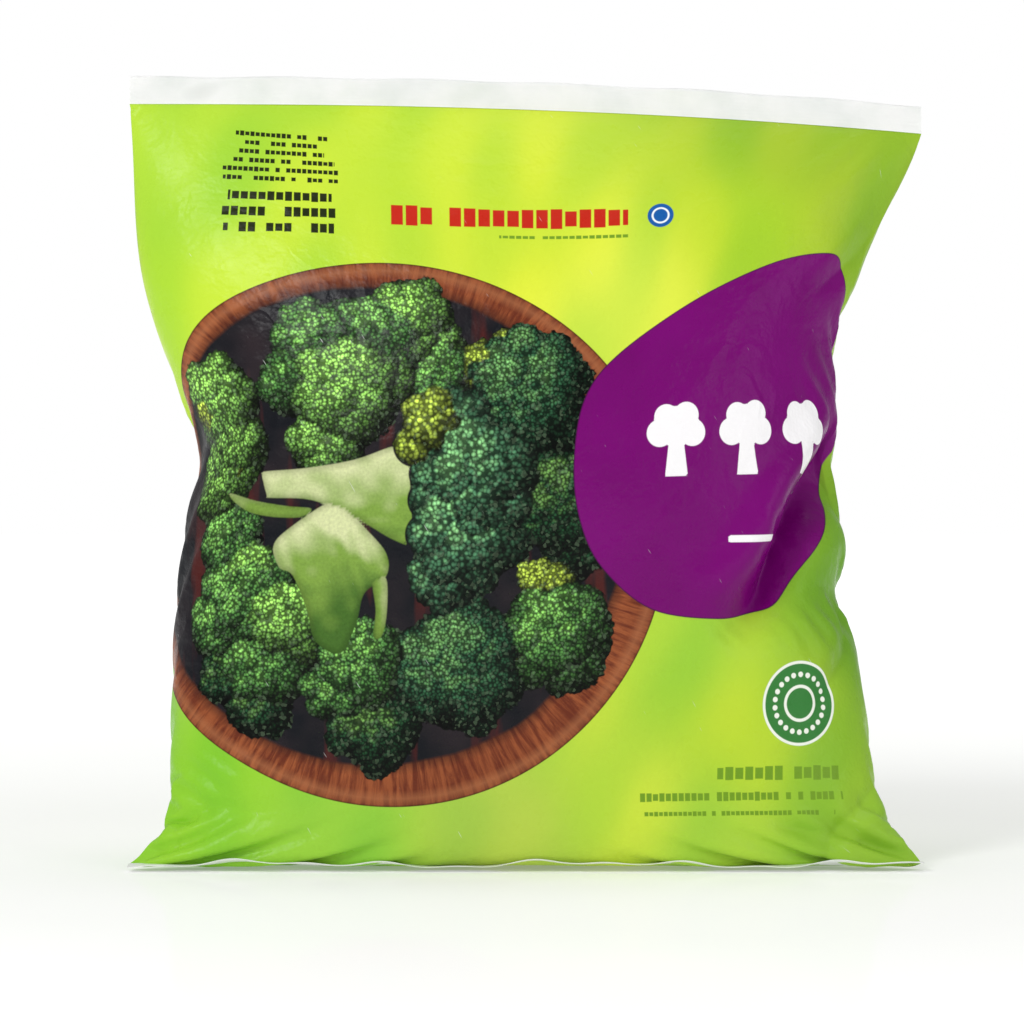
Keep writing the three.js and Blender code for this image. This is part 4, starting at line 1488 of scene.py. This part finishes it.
def clear_weld(piece, name):
    """The same film for either weld. Its ribs run along it, and it is smudged in places."""
    film = Recipe(name)
    u, v, _ = film.three("film_mm")
    place = film.place(u, v, 0.0)
    haze = film.noise(place, 0.05, 3)
    white = film.mix(film.scale(haze, 0.4, 0.7, 0, 1), ink(252, 252, 251), ink(238, 241, 238))
    smudge = film.scale(film.noise(film.place(u, film.times(v, 2.0)), 0.021, 1), 0.68, 0.74, 0, 0.3)
    white = film.mix(smudge, white, ink(206, 210, 204))
    ribs = film.math("SINE", film.times(v, 5.2))
    soft = film.bump(film.noise(place, 0.16, 3), 0.0008, 0.5)
    film.finish(
        piece, Base_Color=white, Roughness=film.scale(haze, 0.3, 0.7, 0.28, 0.42),
        Transmission_Weight=0.15, IOR=1.49, Specular_IOR_Level=0.4,
        Normal=film.bump(ribs, 0.00004, 0.25, soft),
    )


clear_weld(top_weld_band, "clear_top_weld_film")
clear_weld(bottom_weld_band, "clear_bottom_weld_film")

# %% [markdown]
# ## The frozen florets inside
#
# The florets are loose rigid pieces. Their places come from the CAD nodes. Each one is the
# node's own solid, cut finer, with the crown pushed out into buds and the stem left smooth,
# and a light coat of frost. Where a floret would touch the creased film, it is held back.

# %% Shape one floret
LONGEST_EDGE = 4.2 * MM
BUD_HEIGHT = 0.9 * MM
BUD_REACH, BUD_SPACING = 2.6 * MM, 3.4 * MM
SHRINK = 0.93  # room for the buds to grow out
FILM_GAP = 1.2 * MM


def bud_pattern(points, seed):
    """Domes over a crown, from 0 to 1."""
    draw = np.random.default_rng(seed)
    low, high = points.min(0), points.max(0)
    count = int(np.prod((high - low) / BUD_SPACING))
    seeds = draw.uniform(low, high, (count, 3))
    tree = KDTree(count)
    for number, point in enumerate(seeds):
        tree.insert(point, number)
    tree.balance()
    near = np.array([tree.find(point)[2] for point in points])
    return np.clip(1 - near / BUD_REACH, 0, 1) ** 0.5


def floret_mesh(name, seed):
    """A finer copy of a node's mesh with buds on it, its points, and their middle."""
    made = bmesh.new()
    made.from_mesh(bpy.data.objects[name].data)
    for _ in range(2):
        long_edges = [edge for edge in made.edges if edge.calc_length() > LONGEST_EDGE]
        if long_edges:
            bmesh.ops.subdivide_edges(made, edges=long_edges, cuts=1, use_grid_fill=True)
    bmesh.ops.triangulate(made, faces=made.faces[:])
    bmesh.ops.smooth_vert(made, verts=made.verts[:], factor=0.5)
    bmesh.ops.recalc_face_normals(made, faces=made.faces[:])
    made.normal_update()
    points = np.array([vert.co for vert in made.verts])
    normals = np.array([vert.normal for vert in made.verts])
    middle = points.mean(0)
    far = np.linalg.norm(points - middle, axis=1)
    crown = np.clip((np.percentile(far, 60) * 1.25 - far) / (0.2 * far.max()), 0, 1)
    buds = bud_pattern(points, seed)
    points = middle + (points - middle) * SHRINK
    points += normals * (BUD_HEIGHT * buds * crown)[:, None]
    for vert, point in zip(made.verts, points):
        vert.co = point
    mesh = bpy.data.meshes.new(name + "_frozen")
    made.to_mesh(mesh)
    made.free()
    mesh.polygons.foreach_set("use_smooth", np.ones(len(mesh.polygons), bool))
    store_vector(mesh, "growth", [crown, buds, np.zeros(len(buds))])
    return mesh, points, middle


def held_inside(mesh, points, middle, film):
    """Moves a point back where the film lies between it and the floret's middle."""
    moved = 0
    centre = Vector(middle)
    for number, point in enumerate(points):
        line = Vector(point) - centre
        reach = line.length
        hit = film.ray_cast(centre, line / reach, reach + FILM_GAP)[0]
        if hit is not None:
            room = max((hit - centre).length - FILM_GAP, 2 * MM)
            mesh.vertices[number].co = centre + line / reach * min(room, reach)
            moved += 1
    mesh.update()
    return moved


def film_tree():
    """Both panels of film, for asking what a line meets first."""
    points, faces = [], []
    for panel in (film_front, film_back):
        start = len(points)
        points += [vert.co for vert in panel.data.vertices]
        faces += [[start + i for i in face.vertices] for face in panel.data.polygons]
    return BVHTree.FromPolygons(points, faces)


print("buds", round(BUD_SPACING / MM, 1), "mm apart, kept", round(FILM_GAP / MM, 1), "mm off the film")

# %% Make all the florets
barrier = film_tree()
frozen, held = [], 0
for number, name in enumerate(florets):
    mesh, points, middle = floret_mesh(name, number + 1)
    held += held_inside(mesh, points, middle, barrier)
    piece = bpy.data.objects.new(name + "_frozen", mesh)
    bpy.context.scene.collection.objects.link(piece)
    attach(piece, "root")
    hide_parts(name)
    frozen.append(piece)
print(len(frozen), "florets,", len(frozen[0].data.polygons), "faces in the first")
print(held, "points held back by the film")

# %% [markdown]
# ## Frost
#
# A frozen floret is dull green with white rime on what stands out. The two numbers stored on
# its points say where the crown is and how high each bud stands, so the stem can be paler and
# the gaps between buds darker, as painted shade. All the florets share one material, and the
# frost lies differently on each because its noise is read where the floret is.

# %% Floret material: buds, stem and frost
floret_skin = Recipe("frozen_broccoli")
crown, buds, _ = floret_skin.three("growth")
where = floret_skin.node("ShaderNodeTexCoord").outputs["Object"]
fine = floret_skin.cells(where, 620.0, "F1", 0.9)["Distance"]
# Buds are light in the middle and darker at each cell's edge, and darker still where they stand low:
# painted shade in the gaps between buds.
bud = floret_skin.mix(floret_skin.scale(fine, 0.1, 0.6, 0, 0.8), ink(96, 146, 84), ink(26, 62, 36))
bud = floret_skin.mix(floret_skin.scale(buds, 0.1, 0.6, 0.6, 0), bud, ink(24, 54, 32))
stem = floret_skin.mix(floret_skin.noise(where, 180.0, 3), ink(156, 182, 104), ink(196, 208, 142))
green = floret_skin.mix(floret_skin.scale(crown, 0.25, 0.6, 0, 1), stem, bud)
frost = floret_skin.noise(where, 90.0, 4, 0.65)
frost_here = floret_skin.scale(frost, 0.5, 0.72, 0.08, 0.7)
green = floret_skin.mix(frost_here, green, ink(232, 240, 240))
skin_height = floret_skin.add(fine, floret_skin.times(frost, 0.6))
floret_skin.finish(
    frozen[0], Base_Color=green, Roughness=floret_skin.scale(frost, 0.3, 0.7, 0.42, 0.66),
    Normal=floret_skin.bump(skin_height, 0.0006, 0.6),
)
for piece in frozen[1:]:
    piece.data.materials.append(floret_skin.material)

# %% [markdown]
# ## A table and a white room
#
# Goods like this are shown on white: a pale table that mirrors the bag faintly, and white all
# round. A white world alone would light the bag flat, so the world is half as bright, and a
# dome that only the camera sees is white behind the bag. The table gives a little light of its
# own, more of it far away, so its edge doesn't show against the dome.

# %% A pale table and a white surround
TABLE_REACH = 3.0
TABLE_MIRROR = 0.1  # share of the table's finish that mirrors
WORLD_LIGHT = 0.5


def disc(name, radius, height, sections=96):
    """A flat round plate that belongs to the stage, not to the object."""
    made = bmesh.new()
    bmesh.ops.create_circle(made, cap_ends=True, radius=radius, segments=sections)
    bmesh.ops.translate(made, verts=made.verts[:], vec=(0, 0, height))
    mesh = bpy.data.meshes.new(name)
    made.to_mesh(mesh)
    made.free()
    piece = bpy.data.objects.new(name, mesh)
    bpy.context.scene.collection.objects.link(piece)
    return piece


table_top = disc("pale_table", TABLE_REACH, -0.0006)
table_finish = Recipe("pale_table_gloss")
spot = table_finish.node("ShaderNodeTexCoord").outputs["Object"]
veil = table_finish.noise(spot, 6.0, 3)
tone = table_finish.mix(veil, ink(246, 247, 244), ink(250, 251, 249))
far = table_finish.node("ShaderNodeVectorMath", {0: spot}, operation="LENGTH").outputs["Value"]
glow = table_finish.scale(far, 0.25, 1.6, 0.2, 0.7)
table_finish.finish(
    table_top, Base_Color=tone, Roughness=0.6, Specular_IOR_Level=0.0,
    Emission_Color=(1.0, 1.0, 1.0), Emission_Strength=glow,
)
mirror = table_finish.node("ShaderNodeBsdfGlossy", {"Roughness": 0.09})
blend = table_finish.node("ShaderNodeMixShader", {0: TABLE_MIRROR})
table_finish.feed(blend.inputs[1], table_finish.surface.outputs[0])
table_finish.feed(blend.inputs[2], mirror.outputs[0])
output = table_finish.tree.nodes["Material Output"]
table_finish.feed(output.inputs["Surface"], blend.outputs[0])

world = bpy.data.worlds.new("white_room")
world.use_nodes = True
world.node_tree.nodes["Background"].inputs["Color"].default_value = (1, 1, 1, 1)
world.node_tree.nodes["Background"].inputs["Strength"].default_value = WORLD_LIGHT
bpy.context.scene.world = world


def white_surround(radius=6.0):
    """A white dome that only the camera sees, so it neither lights the bag nor shows in it."""
    made = bmesh.new()
    bmesh.ops.create_icosphere(made, subdivisions=5, radius=radius)
    mesh = bpy.data.meshes.new("white_surround")
    made.to_mesh(mesh)
    made.free()
    dome = bpy.data.objects.new("white_surround", mesh)
    bpy.context.scene.collection.objects.link(dome)
    dome.visible_diffuse = dome.visible_glossy = dome.visible_shadow = False
    dome.visible_transmission = dome.visible_volume_scatter = False
    white = Recipe("surround_white")
    white.feed(white.surface.inputs["Emission Color"], (1.0, 1.0, 1.0))
    white.finish(dome, Base_Color=(0.0, 0.0, 0.0), Emission_Strength=1.0, Specular_IOR_Level=0.0)


white_surround()
print("white surround, and", WORLD_LIGHT, "of plain light")

# %% [markdown]
# ## Three soft lamps
#
# The key stands left and high in front, so the right side of every crease is the dark one. A
# weaker lamp on the right keeps those sides open, and one above lights the top of the bag.
# Discs are chosen because their highlights on gloss are round, with no corners.

# %% Soft lamps
LAMPS = [  # name, place, size, watts
    ("key_left", (-1.3, -1.9, 1.5), 0.8, 23),
    ("fill_right", (1.7, -1.5, 0.7), 1.2, 5.5),
    ("over_top", (0.0, 0.1, 1.9), 1.4, 7.5),
]
BAG_MIDDLE = Vector((0, 0, 0.13))
for name, spot, size, watts in LAMPS:
    lamp = bpy.data.lights.new(name, "AREA")
    lamp.shape, lamp.size, lamp.energy = "DISK", size, watts
    holder = bpy.data.objects.new(name, lamp)
    holder.location = spot
    holder.rotation_euler = (BAG_MIDDLE - holder.location).to_track_quat("-Z", "Y").to_euler()
    bpy.context.scene.collection.objects.link(holder)
print(len(LAMPS), "lamps")

# %% [markdown]
# ## A long lens, level with the bag
#
# From 2 m away the bag's two sides keep their true widths, as in a catalogue. The lens isn't
# guessed: it is worked out from how wide a view is wanted at the bag.

# %% Camera
CAMERA_FAR, CAMERA_RISE = 2.0, math.radians(2.0)
VIEW_WIDTH = 0.3622  # metres that the picture shows at the bag
SENSOR = 36
aim_at = Vector((-0.0048, 0, 0.1234))
lens = bpy.data.cameras.new("long_lens")
lens.sensor_width = SENSOR
lens.lens = SENSOR * CAMERA_FAR / VIEW_WIDTH
camera = bpy.data.objects.new("camera", lens)
back = Vector((0, -math.cos(CAMERA_RISE), math.sin(CAMERA_RISE)))
camera.location = aim_at + back * CAMERA_FAR
camera.rotation_euler = (-back).to_track_quat("-Z", "Y").to_euler()
bpy.context.scene.collection.objects.link(camera)
bpy.context.scene.camera = camera
bpy.context.scene.view_settings.view_transform = "Standard"
print("lens", round(lens.lens), "mm at", CAMERA_FAR, "m")
